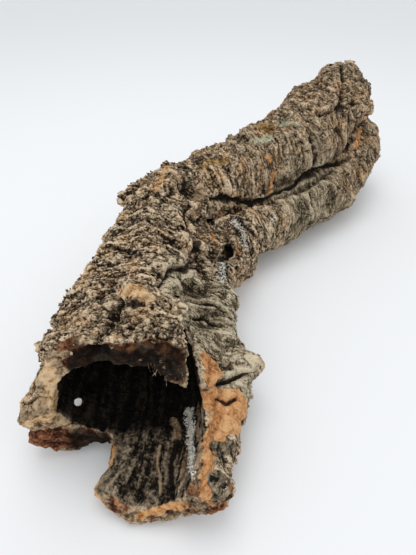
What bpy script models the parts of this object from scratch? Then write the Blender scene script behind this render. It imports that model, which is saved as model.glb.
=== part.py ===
# A cork bark tube: the hollow bark of a bent cork oak limb, one piece, lying on its side.
# It runs along +Y from the torn near mouth, at -Y, to the far mouth. Z = 0 is the surface it rests on.
# The near mouth opens on a trough whose right wall runs on into a side roll of bark.
import math

import bmesh
import bpy
from mathutils import Euler, Matrix, Vector, noise
from mathutils.kdtree import KDTree

# Driving dimensions, in metres
WALL = 0.015
FLOOR_WALL = 0.013
VOXEL = 0.0033
TRIANGLES = 11400
FLAT_SNAP = 0.0004
WELD = 0.00001
SPINE_STEPS = 12

# Relief of the bark: rings across the rolls, crags between them, and torn edges
RING_HEIGHT = 0.0080
RING_SPACING = 0.026
RING_WANDER = 0.022
WANDER_SIZE = 0.050
CRAG_HEIGHT = 0.0056
CRAG_SIZE = 0.026
GRAIN_HEIGHT = 0.0020
GRAIN_SIZE = 0.010
TEAR_DEPTH = 0.0045
TEAR_SIZE = 0.016
LINING_DEPTH = 0.0025
LINING_SIZE = 0.022

# The rim of the near mouth stands through this point, turned outwards, and leans back at its top
RIM_FOOT = Vector((-0.014, -0.234, 0.0))
RIM_TURN = math.radians(30)
RIM_LEAN = math.radians(-3)
TONGUE_END = Vector((0.045, -0.054, 0.0))
TONGUE_TURN = math.radians(20)
TONGUE_LEAN = math.radians(-10)

# The far mouth is cut across the rolls through this point
FAR_RIM = Vector((0.040, 0.312, 0.100))
FAR_TURN = math.radians(-12)
FAR_LEAN = math.radians(4)
CUT_SIZE = 0.30
CUT_DEPTH = 0.12

# What is torn off in front of the rim, seen from the front: left of the tongue, and above its trough
# and its right wall. Distances run along the rim from its foot, and up
MOUTH_OUTLINE = (
    (-CUT_SIZE / 2, -0.050),
    (0.010, -0.050),
    (0.014, 0.028),
    (0.050, 0.038),
    (0.074, 0.050),
    (0.100, 0.054),
    (CUT_SIZE / 2, 0.060),
    (CUT_SIZE / 2, CUT_SIZE),
    (-CUT_SIZE / 2, CUT_SIZE),
)

# Bark rolls: x, y, z and outer radius at stations along each roll
MAIN_ROLL = (
    (0.010, -0.275, 0.056, 0.047),
    (0.003, -0.227, 0.058, 0.053),
    (-0.009, -0.197, 0.060, 0.053),
    (-0.033, -0.144, 0.061, 0.046),
    (-0.047, -0.099, 0.063, 0.044),
    (-0.058, -0.048, 0.069, 0.045),
    (-0.067, -0.005, 0.076, 0.043),
    (-0.052, 0.029, 0.083, 0.039),
    (-0.040, 0.048, 0.088, 0.036),
    (-0.018, 0.085, 0.093, 0.036),
    (0.006, 0.127, 0.099, 0.041),
    (0.022, 0.190, 0.108, 0.045),
    (0.030, 0.245, 0.114, 0.044),
    (0.034, 0.335, 0.116, 0.039),
)
SIDE_ROLL = (
    (0.058, -0.185, 0.034, 0.018),
    (0.048, -0.150, 0.034, 0.022),
    (0.027, -0.125, 0.037, 0.025),
    (0.006, -0.098, 0.038, 0.029),
    (-0.006, -0.057, 0.038, 0.028),
    (-0.008, -0.009, 0.040, 0.029),
    (-0.007, 0.031, 0.041, 0.034),
    (0.012, 0.066, 0.041, 0.035),
    (0.034, 0.115, 0.042, 0.035),
    (0.056, 0.171, 0.044, 0.037),
    (0.068, 0.225, 0.052, 0.037),
    (0.068, 0.325, 0.066, 0.032),
)
BELLY_ROLL = (
    (0.050, -0.300, 0.044, 0.038),
    (0.036, -0.235, 0.045, 0.042),
    (0.020, -0.185, 0.044, 0.040),
    (-0.012, -0.130, 0.044, 0.037),
    (-0.030, -0.060, 0.046, 0.035),
    (-0.036, 0.000, 0.050, 0.034),
)
RIGHT_WALL = (
    (0.086, -0.290, 0.030, 0.015),
    (0.075, -0.238, 0.033, 0.019),
    (0.062, -0.195, 0.034, 0.021),
    (0.052, -0.160, 0.034, 0.022),
)
FOLD_BORE = (
    (0.016, 0.100, 0.074, 0.008),
    (0.032, 0.150, 0.078, 0.016),
    (0.044, 0.220, 0.086, 0.022),
    (0.050, 0.345, 0.092, 0.024),
)

# Plates and knots: place, half sizes, and turns about X, Y and Z in degrees
PLATES = {
    "mouth_hood": ((0.018, -0.188, 0.100), (0.036, 0.026, 0.017), (0, 18, -40)),
    "hood_hook": ((-0.004, -0.172, 0.113), (0.014, 0.020, 0.011), (14, 0, -10)),
    "hood_end": ((0.036, -0.200, 0.086), (0.016, 0.015, 0.015), (0, 30, -30)),
    "rim_brow": ((-0.024, -0.222, 0.104), (0.022, 0.016, 0.009), (0, -22, 20)),
    "left_curl": ((-0.044, -0.234, 0.042), (0.019, 0.022, 0.027), (0, -15, 20)),
    "left_foot": ((-0.036, -0.228, 0.019), (0.028, 0.024, 0.020), (0, 0, 25)),
    "flare": ((0.066, -0.146, 0.038), (0.013, 0.010, 0.019), (0, 25, 30)),
    "side_step_near": ((0.034, -0.148, 0.050), (0.028, 0.012, 0.019), (0, 30, 35)),
    "side_step_far": ((0.014, -0.118, 0.053), (0.026, 0.012, 0.017), (0, 20, 25)),
    "elbow_bulge": ((-0.096, -0.016, 0.086), (0.019, 0.026, 0.022), (0, 30, 10)),
    "elbow_crest": ((-0.062, -0.036, 0.112), (0.014, 0.034, 0.013), (12, 0, -20)),
    "elbow_hook": ((-0.054, 0.000, 0.113), (0.022, 0.011, 0.011), (0, 0, 30)),
    "flake": ((-0.032, -0.040, 0.094), (0.009, 0.018, 0.024), (15, 30, -25)),
    "knot": ((0.004, -0.042, 0.058), (0.022, 0.030, 0.019), (0, 20, -10)),
    "knot_rim": ((-0.012, -0.058, 0.074), (0.010, 0.022, 0.014), (0, 20, -5)),
    "upper_knob": ((-0.030, 0.080, 0.120), (0.010, 0.010, 0.012), (0, 0, 0)),
    "moss_ledge": ((-0.018, 0.110, 0.120), (0.014, 0.026, 0.014), (0, -20, -25)),
    "far_lobe": ((0.006, 0.210, 0.134), (0.024, 0.036, 0.022), (0, -10, -10)),
    "far_crest": ((0.026, 0.276, 0.150), (0.024, 0.030, 0.015), (10, 0, -10)),
    "far_right_lobe": ((0.060, 0.232, 0.120), (0.020, 0.036, 0.026), (0, 25, -8)),
    "far_low_lobe": ((0.082, 0.212, 0.050), (0.020, 0.036, 0.034), (0, 10, -12)),
    "belly_pad": ((-0.022, -0.170, 0.020), (0.030, 0.050, 0.023), (0, 0, 15)),
    "middle_pad": ((-0.020, 0.002, 0.016), (0.043, 0.050, 0.024), (0, 0, -10)),
    "side_pad": ((0.046, -0.160, 0.022), (0.024, 0.034, 0.024), (0, 0, 30)),
    "far_pad": ((0.056, 0.185, 0.022), (0.028, 0.056, 0.025), (0, 0, -15)),
}
DENTS = {
    "moss_hollow": ((0.000, 0.106, 0.140), (0.013, 0.030, 0.012), (0, 0, -28)),
    "knot_hole_near": ((0.010, -0.052, 0.070), (0.006, 0.007, 0.012), (0, 30, 0)),
    "knot_hole_far": ((-0.008, -0.030, 0.074), (0.005, 0.007, 0.012), (0, 20, 0)),
    "far_hole": ((0.030, 0.170, 0.150), (0.006, 0.008, 0.012), (0, 10, 0)),
    "trough_notch": ((0.070, -0.252, 0.060), (0.010, 0.008, 0.018), (0, 0, 20)),
}

# Crevices, as blades that stand on edge: x, y, z and half thickness, with half height per blade
SCROLL_SLIT = (
    (0.060, -0.216, 0.078, 0.0040),
    (0.043, -0.187, 0.084, 0.0034),
    (0.021, -0.162, 0.084, 0.0030),
    (0.000, -0.134, 0.082, 0.0026),
    (-0.006, -0.105, 0.084, 0.0024),
    (-0.012, -0.072, 0.086, 0.0022),
)
SLIT_REACH = 0.026
ROLL_CREVICE = (
    (-0.030, -0.034, 0.092, 0.0050),
    (-0.014, 0.014, 0.078, 0.0036),
    (0.022, 0.062, 0.076, 0.0034),
    (0.050, 0.118, 0.078, 0.0036),
    (0.074, 0.182, 0.090, 0.0036),
    (0.090, 0.222, 0.098, 0.0026),
)
CREVICE_REACH = 0.013

# A small hole through the lower left wall, seen through the near mouth
PINHOLE_RADIUS = 0.0034
PINHOLE_FROM = Vector((-0.010, -0.228, 0.060))
PINHOLE_TO = Vector((-0.068, -0.182, 0.004))

BARK_COLOUR = (0.17, 0.13, 0.095, 1.0)
BARK_ROUGHNESS = 0.92


def clear_scene():
    for obj in list(bpy.data.objects):
        bpy.data.objects.remove(obj, do_unlink=True)


def add_collection(name):
    collection = bpy.data.collections.new(name)
    bpy.context.scene.collection.children.link(collection)
    return collection


def bark_material():
    material = bpy.data.materials.new("cork_bark")
    material.use_nodes = True
    shader = material.node_tree.nodes["Principled BSDF"]
    shader.inputs["Base Color"].default_value = BARK_COLOUR
    shader.inputs["Roughness"].default_value = BARK_ROUGHNESS
    shader.inputs["Metallic"].default_value = 0.0
    return material


def link_mesh(name, mesh, collection):
    obj = bpy.data.objects.new(name, mesh)
    collection.objects.link(obj)
    return obj


def as_mesh_object(obj, collection):
    """Swaps a curve, or a mesh with modifiers, for its evaluated mesh, with loose caps welded."""
    bpy.context.view_layer.update()
    graph = bpy.context.evaluated_depsgraph_get()
    mesh = bpy.data.meshes.new_from_object(obj.evaluated_get(graph))
    mesh.transform(obj.matrix_world)
    name = obj.name
    bpy.data.objects.remove(obj, do_unlink=True)
    shape = bmesh.new()
    shape.from_mesh(mesh)
    bmesh.ops.remove_doubles(shape, verts=shape.verts, dist=WELD)
    bmesh.ops.recalc_face_normals(shape, faces=shape.faces)
    shape.to_mesh(mesh)
    shape.free()
    return link_mesh(name, mesh, collection)


def remesh(obj, collection, voxel=VOXEL):
    skin = obj.modifiers.new("skin", "REMESH")
    skin.mode = "VOXEL"
    skin.voxel_size = voxel
    return as_mesh_object(obj, collection)


def soften(obj, collection, rounds):
    smooth = obj.modifiers.new("soften", "SMOOTH")
    smooth.factor = 0.5
    smooth.iterations = rounds
    return as_mesh_object(obj, collection)


def guide_curve(name, stations, collection):
    """A smooth curve through stations of x, y, z and radius."""
    curve = bpy.data.curves.new(name, "CURVE")
    curve.dimensions = "3D"
    curve.resolution_u = 6
    curve.use_fill_caps = True
    curve.twist_mode = "Z_UP"
    spline = curve.splines.new("BEZIER")
    spline.bezier_points.add(len(stations) - 1)
    for point, (x, y, z, radius) in zip(spline.bezier_points, stations):
        point.co = (x, y, z)
        point.radius = radius
        point.handle_left_type = "AUTO"
        point.handle_right_type = "AUTO"
    guide = bpy.data.objects.new(name, curve)
    collection.objects.link(guide)
    return guide


def roll(name, stations, collection, shrink=0.0):
    """A round bar through the stations; shrink is taken off its radius, to make a bore."""
    slim = [(x, y, z, radius - shrink) for x, y, z, radius in stations]
    guide = guide_curve(name, slim, collection)
    guide.data.bevel_depth = 1.0
    guide.data.bevel_resolution = 6
    return as_mesh_object(guide, collection)


def blade(name, stations, reach, collection):
    """A thin slab on edge along the stations, as high as twice the reach where it is thickest."""
    thickest = max(radius for _, _, _, radius in stations)
    scaled = [(x, y, z, radius / thickest) for x, y, z, radius in stations]
    guide = guide_curve(name, scaled, collection)
    guide.data.bevel_depth = thickest
    guide.data.bevel_resolution = 2
    guide.data.extrude = reach
    return as_mesh_object(guide, collection)


def lump(name, place, half_sizes, turns, collection):
    """A plate or knot of bark: a ball squashed to size, turned, and sunk into the rolls."""
    shape = bmesh.new()
    bmesh.ops.create_icosphere(shape, subdivisions=3, radius=1.0)
    turn = Euler([math.radians(angle) for angle in turns]).to_matrix().to_4x4()
    shape.transform(Matrix.Translation(place) @ turn @ Matrix.Diagonal((*half_sizes, 1.0)))
    mesh = bpy.data.meshes.new(name)
    shape.to_mesh(mesh)
    shape.free()
    return link_mesh(name, mesh, collection)


def fuse(name, pieces, collection):
    """One closed skin round all the pieces."""
    shape = bmesh.new()
    for piece in pieces:
        shape.from_mesh(piece.data)
    mesh = bpy.data.meshes.new(name)
    shape.to_mesh(mesh)
    shape.free()
    for piece in pieces:
        bpy.data.objects.remove(piece, do_unlink=True)
    return remesh(link_mesh(name, mesh, collection), collection)


def push(at):
    """A repeatable push that varies smoothly from place to place."""
    apart = Vector((31.7, 47.1, 12.9))
    return Vector((noise.noise(at), noise.noise(at + apart), noise.noise(at - apart)))


def roughen(obj, depth, size, collection):
    """Pushes a cutter's skin about, so that what it cuts looks torn, then closes it again."""
    for vertex in obj.data.vertices:
        at = vertex.co / size
        vertex.co += depth * (push(at) + 0.5 * push(at * 2.3))
    return remesh(obj, collection)


def spine_tree(stations_of_rolls):
    """Points along every roll, each with its distance along the bark, its radius and its direction."""
    places = []
    for stations in stations_of_rolls:
        along = stations[0][1]
        for start, end in zip(stations, stations[1:]):
            a, b = Vector(start[:3]), Vector(end[:3])
            for step in range(SPINE_STEPS):
                part = step / SPINE_STEPS
                radius = start[3] + (end[3] - start[3]) * part
                places.append((a.lerp(b, part), along + (b - a).length * part, radius, (b - a).normalized()))
            along += (b - a).length
    tree = KDTree(len(places))
    for index, place in enumerate(places):
        tree.insert(place[0], index)
    tree.balance()
    return tree, places


def bark_height(point, tree, places):
    """How far the bark stands out at a point of its outer skin."""
    _, index, _ = tree.find(point)
    centre, along, radius, direction = places[index]
    along += (point - centre).dot(direction) + RING_WANDER * noise.noise(point / WANDER_SIZE)
    ring, rise = divmod(along / RING_SPACING, 1.0)
    weight = 0.6 + 0.8 * noise.noise(Vector((0.5, ring * 3.7, radius / 0.02)))
    crag = noise.fractal(point / CRAG_SIZE, 1.0, 2.1, 3)
    grain = noise.noise(point / GRAIN_SIZE)
    return RING_HEIGHT * weight * ((1.0 - rise) ** 2 - 0.4) + CRAG_HEIGHT * crag + GRAIN_HEIGHT * grain


def raise_relief(obj, collection):
    tree, places = spine_tree((MAIN_ROLL, SIDE_ROLL, RIGHT_WALL))
    moves = [v.normal * bark_height(v.co, tree, places) for v in obj.data.vertices]
    for vertex, move in zip(obj.data.vertices, moves):
        vertex.co += move
    return remesh(obj, collection)


def outline_cutter(name, outline, collection):
    """A flat outline given a length, from its own plane to its local +Z."""
    curve = bpy.data.curves.new(name, "CURVE")
    curve.dimensions = "2D"
    curve.fill_mode = "BOTH"
    curve.extrude = CUT_DEPTH / 2
    spline = curve.splines.new("POLY")
    spline.points.add(len(outline) - 1)
    for point, (x, y) in zip(spline.points, outline):
        point.co = (x, y, 0.0, 1.0)
    spline.use_cyclic_u = True
    guide = bpy.data.objects.new(name, curve)
    guide.matrix_world = Matrix.Translation((0, 0, CUT_DEPTH / 2))
    collection.objects.link(guide)
    return as_mesh_object(guide, collection)


def stand_at(obj, place, turn, lean=0.0):
    """Stands a cutter up, so that its length points away from the place, at -Y before the turn."""
    upright = Matrix.Rotation(math.radians(90) + lean, 4, "X")
    obj.data.transform(Matrix.Translation(place) @ Matrix.Rotation(turn, 4, "Z") @ upright)


def mouth_cutter(collection):
    """Takes away all that lies in front of the rim but the tongue and the right wall."""
    cutter = outline_cutter("mouth_cut", MOUTH_OUTLINE, collection)
    stand_at(cutter, RIM_FOOT, RIM_TURN, RIM_LEAN)
    return cutter


def square_cutter(name, collection):
    half = CUT_SIZE / 2
    return outline_cutter(name, ((-half, -half), (half, -half), (half, half), (-half, half)), collection)


def tongue_end_cutter(collection):
    cutter = square_cutter("tongue_cut", collection)
    end = RIM_FOOT + Matrix.Rotation(RIM_TURN, 3, "Z") @ TONGUE_END
    stand_at(cutter, end, TONGUE_TURN, TONGUE_LEAN)
    return cutter


def far_end_cutter(collection):
    cutter = square_cutter("far_cut", collection)
    stand_at(cutter, FAR_RIM, math.radians(180) + FAR_TURN, FAR_LEAN)
    return cutter


def pinhole_cutter(collection):
    shape = bmesh.new()
    path = PINHOLE_TO - PINHOLE_FROM
    bmesh.ops.create_cone(
        shape,
        cap_ends=True,
        segments=12,
        radius1=PINHOLE_RADIUS,
        radius2=PINHOLE_RADIUS,
        depth=path.length,
    )
    turn = path.to_track_quat("Z", "Y").to_matrix().to_4x4()
    shape.transform(Matrix.Translation((PINHOLE_FROM + PINHOLE_TO) / 2) @ turn)
    mesh = bpy.data.meshes.new("pinhole_cut")
    shape.to_mesh(mesh)
    shape.free()
    return link_mesh("pinhole_cut", mesh, collection)


def cut(body, cutters, collection):
    """Cuts with one cutter after another, then removes them."""
    for cutter in cutters:
        boolean = body.modifiers.new("cut", "BOOLEAN")
        boolean.operation = "DIFFERENCE"
        boolean.solver = "EXACT"
        boolean.object = cutter
        body = as_mesh_object(body, collection)
        bpy.data.objects.remove(cutter, do_unlink=True)
    return body


def keep_largest(obj):
    """Drops crumbs that a cut left loose."""
    shape = bmesh.new()
    shape.from_mesh(obj.data)
    left = set(shape.verts)
    groups = []
    while left:
        group, edge = set(), [left.pop()]
        while edge:
            vertex = edge.pop()
            group.add(vertex)
            for link in vertex.link_edges:
                other = link.other_vert(vertex)
                if other in left:
                    left.remove(other)
                    edge.append(other)
        groups.append(group)
    groups.sort(key=len)
    for group in groups[:-1]:
        bmesh.ops.delete(shape, geom=list(group), context="VERTS")
    shape.to_mesh(obj.data)
    shape.free()


def cut_floor(obj):
    """Takes off what lies below the floor, which leaves flat spots to rest on."""
    shape = bmesh.new()
    shape.from_mesh(obj.data)
    geometry = shape.verts[:] + shape.edges[:] + shape.faces[:]
    bmesh.ops.bisect_plane(
        shape, geom=geometry, dist=WELD, plane_co=(0, 0, 0), plane_no=(0, 0, -1), clear_outer=True
    )
    rims = [edge for edge in shape.edges if edge.is_boundary]
    bmesh.ops.holes_fill(shape, edges=rims, sides=0)
    bmesh.ops.triangulate(shape, faces=shape.faces)
    bmesh.ops.recalc_face_normals(shape, faces=shape.faces)
    shape.to_mesh(obj.data)
    shape.free()


def thin_out(obj, collection):
    """Brings the skin down to the triangle budget, then lays its rest spots flat again."""
    obj.data.update()
    decimate = obj.modifiers.new("thin", "DECIMATE")
    decimate.ratio = TRIANGLES / len(obj.data.polygons)
    decimate.use_collapse_triangulate = True
    made = as_mesh_object(obj, collection)
    for vertex in made.data.vertices:
        if vertex.co.z < FLAT_SNAP:
            vertex.co.z = 0.0
    return made


def bark_solid(parts):
    """The limb before it is hollowed: rolls and plates in one skin with its relief."""
    pieces = [
        roll("main_roll", MAIN_ROLL, parts),
        roll("side_roll", SIDE_ROLL, parts),
        roll("belly_roll", BELLY_ROLL, parts),
        roll("right_wall", RIGHT_WALL, parts),
    ]
    pieces += [lump(name, *shape, parts) for name, shape in PLATES.items()]
    body = fuse("bark_tube", pieces, parts)
    body = soften(body, parts, 2)
    return raise_relief(body, parts)


def torn_away(cutters):
    """What was torn or sawn off beyond both mouths and the tongue's end."""
    pieces = [mouth_cutter(cutters), tongue_end_cutter(cutters)]
    near = roughen(fuse("near_cut", pieces, cutters), TEAR_DEPTH, TEAR_SIZE, cutters)
    far = roughen(remesh(far_end_cutter(cutters), cutters), TEAR_DEPTH, TEAR_SIZE, cutters)
    return near, far


def hollows(cutters):
    """The bore with its fold at the far end, and the crevices, holes and dents."""
    pieces = [
        roll("main_bore", MAIN_ROLL, cutters, WALL),
        roll("belly_bore", BELLY_ROLL, cutters, FLOOR_WALL),
        roll("side_bore", SIDE_ROLL[7:], cutters, WALL),
        roll("fold_bore", FOLD_BORE, cutters),
    ]
    lining = roughen(fuse("lining", pieces, cutters), LINING_DEPTH, LINING_SIZE, cutters)
    pieces = [
        lining,
        blade("scroll_slit", SCROLL_SLIT, SLIT_REACH, cutters),
        blade("roll_crevice", ROLL_CREVICE, CREVICE_REACH, cutters),
        pinhole_cutter(cutters),
    ]
    pieces += [lump(name, *shape, cutters) for name, shape in DENTS.items()]
    return [fuse("hollows", pieces, cutters)]


def main():
    clear_scene()
    parts = add_collection("cork_bark_tube")
    cutters = add_collection("cutters")
    body = bark_solid(parts)
    body = cut(body, torn_away(cutters), parts)
    body = cut(body, hollows(cutters), parts)
    body = remesh(body, parts)
    keep_largest(body)
    cut_floor(body)
    body = thin_out(body, parts)
    body.name = "cork_bark_tube"
    body.data.name = "cork_bark_tube"
    body.data.materials.append(bark_material())
    body.data.shade_smooth()


main()
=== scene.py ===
# Cork bark tube: the looks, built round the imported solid
import itertools
import math
import random

import bmesh
import bpy
import numpy as np
from mathutils import Euler, Matrix, Vector, noise


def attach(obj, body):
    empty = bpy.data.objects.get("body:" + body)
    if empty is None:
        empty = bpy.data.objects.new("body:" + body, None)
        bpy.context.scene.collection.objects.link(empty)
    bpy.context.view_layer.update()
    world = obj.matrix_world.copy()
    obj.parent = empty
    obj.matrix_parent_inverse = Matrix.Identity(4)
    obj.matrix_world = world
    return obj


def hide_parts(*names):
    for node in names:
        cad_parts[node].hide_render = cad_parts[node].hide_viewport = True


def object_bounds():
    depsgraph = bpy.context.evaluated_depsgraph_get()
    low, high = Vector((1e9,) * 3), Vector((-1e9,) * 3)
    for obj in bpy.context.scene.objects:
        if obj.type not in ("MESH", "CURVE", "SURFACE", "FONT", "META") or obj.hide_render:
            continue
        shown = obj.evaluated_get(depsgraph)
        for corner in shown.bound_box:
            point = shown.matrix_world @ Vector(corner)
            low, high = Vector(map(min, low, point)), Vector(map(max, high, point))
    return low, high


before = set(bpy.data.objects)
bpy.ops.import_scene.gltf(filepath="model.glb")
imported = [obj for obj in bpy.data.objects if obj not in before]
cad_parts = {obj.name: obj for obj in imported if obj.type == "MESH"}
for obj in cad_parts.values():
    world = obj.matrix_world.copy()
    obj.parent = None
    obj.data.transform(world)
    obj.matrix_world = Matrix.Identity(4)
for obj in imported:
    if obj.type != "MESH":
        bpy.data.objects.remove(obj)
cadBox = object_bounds()
scene = bpy.context.scene
barkNode = "cork_bark_tube"

# Camera and light
viewpoint = {
    "place": (0.12495, -0.33895, 0.300),
    "turn": (50.0, 0.0, 25.0),
    "sensor": 36.0,
    "focalShare": 417.0 / 555.0,  # focal length over the picture's long side
    "nearClip": 0.02,
}
studio = {
    "floorSize": 12.0,
    "floorColour": (0.905, 0.918, 0.93),
    "floorRoughness": 0.75,
    "floorSpecular": 0.2,
    "skyColour": (0.965, 0.98, 1.0),
    "skyStrength": 0.83,
    "keyPlace": (-0.12, 0.05, 1.30),
    "keySize": 0.9,
    "keyEnergy": 4.2,
    "fillPlace": (0.1, -1.1, 0.9),
    "fillSize": 1.1,
    "fillEnergy": 1.2,
    "aim": (0.0, 0.0, 0.05),
}


def addCamera():
    lens = bpy.data.cameras.new("photoCamera")
    lens.sensor_fit = "AUTO"
    lens.sensor_width = viewpoint["sensor"]
    lens.lens = viewpoint["sensor"] * viewpoint["focalShare"]
    lens.clip_start = viewpoint["nearClip"]
    camera = bpy.data.objects.new("photoCamera", lens)
    camera.location = viewpoint["place"]
    camera.rotation_euler = [math.radians(angle) for angle in viewpoint["turn"]]
    scene.collection.objects.link(camera)
    scene.camera = camera


def addSoftLight(name, place, size, energy):
    lamp = bpy.data.lights.new(name, "AREA")
    lamp.shape = "DISK"
    lamp.size = size
    lamp.energy = energy
    light = bpy.data.objects.new(name, lamp)
    light.location = place
    aim = Vector(studio["aim"]) - light.location
    light.rotation_euler = aim.to_track_quat("-Z", "Y").to_euler()
    scene.collection.objects.link(light)


def addStudio():
    shape = bmesh.new()
    bmesh.ops.create_grid(shape, x_segments=1, y_segments=1, size=studio["floorSize"] / 2)
    mesh = bpy.data.meshes.new("floor")
    shape.to_mesh(mesh)
    shape.free()
    floor = bpy.data.objects.new("floor", mesh)
    scene.collection.objects.link(floor)
    paper = bpy.data.materials.new("paleFloor")
    paper.use_nodes = True
    shader = paper.node_tree.nodes["Principled BSDF"]
    shader.inputs["Base Color"].default_value = (*studio["floorColour"], 1.0)
    shader.inputs["Roughness"].default_value = studio["floorRoughness"]
    shader.inputs["Specular IOR Level"].default_value = studio["floorSpecular"]
    mesh.materials.append(paper)
    world = bpy.data.worlds.new("paleRoom")
    world.use_nodes = True
    sky = world.node_tree.nodes["Background"]
    sky.inputs["Color"].default_value = (*studio["skyColour"], 1.0)
    sky.inputs["Strength"].default_value = studio["skyStrength"]
    scene.world = world
    addSoftLight("keyLight", studio["keyPlace"], studio["keySize"], studio["keyEnergy"])
    addSoftLight("fillLight", studio["fillPlace"], studio["fillSize"], studio["fillEnergy"])
    scene.view_settings.view_transform = "Standard"


addCamera()
addStudio()
print("camera, floor and lights are up")

# The lines that the bark rolled up along: x, y, z and outer radius
rolls = {
    "main": (
        (0.010, -0.275, 0.056, 0.047),
        (0.003, -0.227, 0.058, 0.053),
        (-0.009, -0.197, 0.060, 0.053),
        (-0.033, -0.144, 0.061, 0.046),
        (-0.047, -0.099, 0.063, 0.044),
        (-0.058, -0.048, 0.069, 0.045),
        (-0.067, -0.005, 0.076, 0.043),
        (-0.052, 0.029, 0.083, 0.039),
        (-0.040, 0.048, 0.088, 0.036),
        (-0.018, 0.085, 0.093, 0.036),
        (0.006, 0.127, 0.099, 0.041),
        (0.022, 0.190, 0.108, 0.045),
        (0.030, 0.245, 0.114, 0.044),
        (0.034, 0.335, 0.116, 0.039),
    ),
    "side": (
        (0.058, -0.185, 0.034, 0.018),
        (0.048, -0.150, 0.034, 0.022),
        (0.027, -0.125, 0.037, 0.025),
        (0.006, -0.098, 0.038, 0.029),
        (-0.006, -0.057, 0.038, 0.028),
        (-0.008, -0.009, 0.040, 0.029),
        (-0.007, 0.031, 0.041, 0.034),
        (0.012, 0.066, 0.041, 0.035),
        (0.034, 0.115, 0.042, 0.035),
        (0.056, 0.171, 0.044, 0.037),
        (0.068, 0.225, 0.052, 0.037),
        (0.068, 0.325, 0.066, 0.032),
    ),
    "belly": (
        (0.050, -0.300, 0.044, 0.038),
        (0.036, -0.235, 0.045, 0.042),
        (0.020, -0.185, 0.044, 0.040),
        (-0.012, -0.130, 0.044, 0.037),
        (-0.030, -0.060, 0.046, 0.035),
        (-0.036, 0.000, 0.050, 0.034),
    ),
    "wall": (
        (0.086, -0.290, 0.030, 0.015),
        (0.075, -0.238, 0.033, 0.019),
        (0.062, -0.195, 0.034, 0.021),
        (0.052, -0.160, 0.034, 0.022),
    ),
}
rollSteps = 12

# Where the tube is torn: a point of each torn face and the way it faces
tears = {
    "rim": ((-0.014, -0.234, 0.0), (0.4993, -0.8648, 0.0523)),
    "tongueEnd": ((0.052, -0.2583, 0.0), (0.3368, -0.9254, 0.1736)),
    "farEnd": ((0.040, 0.312, 0.100), (0.2074, 0.9757, -0.0698)),
}
tornFace = {
    "reach": 0.0075,
    "reachEdge": (0.7, 1.2),
    "facing": (0.35, 0.6),
    "lumpHeight": 0.0018,
    "chipSize": 0.0045,
    "chipHeight": 0.0016,
    "chipSeed": 51,
    "ringTurn": 0.05,  # metres for each radian round the roll
    "ringSway": 0.001,
    "ringSizes": (0.0022, 0.010, 0.012),
    "ringHeight": 0.0009,
    "grainHeight": 0.0005,
}

# Bark skin: sizes in metres, with shares and edges that have no unit
skin = {
    "voxel": 0.0012,
    "quickVoxel": 0.0022,
    "weld": 0.00001,
    "softenShare": 0.5,
    "softenRounds": 3,
    "triangles": 196000,
    "lean": 0.35,  # how far raised bark leans towards the near end
    "liningFacing": (0.05, 0.30),
    "liningDepth": (0.001, 0.005),
    "plainRoughness": 0.26,
    "roughRange": (0.05, 1.2),
    "calmLeast": 0.15,
    "stepLength": 0.0086,
    "stepWidth": 0.020,
    "stepHeight": 0.0019,
    "stepShare": 0.50,
    "stepSpread": 1.5,
    "stepCurve": 1.6,
    "stepSink": 0.35,
    "ringSpacing": 3.71,
    "lineLength": 0.0026,
    "lineWidth": 0.016,
    "lineHeight": 0.0005,
    "slabLeast": 0.5,
    "smallChipLeast": 0.15,
    "gapDepth": 0.0009,
    "cragHeight": 0.0014,
    "cragEdge": 0.26,
    "lumpHeight": 0.0022,
    "lumpLeast": 0.4,
    "seamLength": 0.045,
    "seamWidth": 0.012,
    "seamDepth": 0.0014,
    "seamEdge": 0.08,
    "pitDepth": 0.0026,
    "pitEdge": (0.36, 0.50),
    "grainHeight": 0.00055,
    "grainLeast": 0.5,
    "troughRidgeLength": 0.040,
    "troughRidgeWidth": 0.0065,
    "troughRidgeHeight": 0.0022,
    "troughGrainHeight": 0.0009,
}

# How the growth steps wander: size, reach, octaves and shift of each noise
wanders = (
    (0.030, 0.0085, 2, 0.0),
    (0.009, 0.0022, 1, 7.7),
    (0.0036, 0.0010, 1, 2.7),
)

# Layers of plates in the outer bark: sizes in metres, and the edges of the gaps between them
slabLayers = {
    "slab": {
        "length": 0.0085, "width": 0.020, "height": 0.0022, "seed": 11,
        "gap": (0.02, 0.13), "gapShare": 0.7,
    },
    "bigSlab": {
        "length": 0.021, "width": 0.038, "height": 0.0036, "seed": 7,
        "gap": (0.01, 0.07), "gapShare": 1.2,
    },
}
chipLayers = {
    "chip": {
        "size": 0.0062, "height": 0.0020, "wander": 60.0, "seed": 23,
        "gap": (0.02, 0.16), "gapShare": 1.0,
    },
    "smallChip": {
        "size": 0.0031, "height": 0.0011, "wander": 90.0, "seed": 37,
        "gap": (0.02, 0.22), "gapShare": 0.4,
    },
}

# Noise patterns of the relief: size, octaves and shift, with size 1 where the place is already scaled
patterns = {
    "steps": (1.0, 1, 0.0),
    "lines": (1.0, 2, 0.0),
    "crags": (0.0085, 3, 5.5),
    "lumps": (0.017, 2, 2.2),
    "seams": (1.0, 2, 9.4),
    "pits": (0.0075, 1, 4.4),
    "grain": (0.0022, 1, 1.3),
    "troughRidges": (1.0, 3, 6.1),
    "troughGrain": (0.0035, 2, 8.8),
    "tornLumps": (0.007, 3, 3.3),
    "tornRings": (1.0, 1, 0.0),
    "tornGrain": (0.0018, 1, 2.9),
    "ringSway": (0.012, 1, 4.9),
    "crackWobble": (0.004, 1, 3.1),
}

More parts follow.
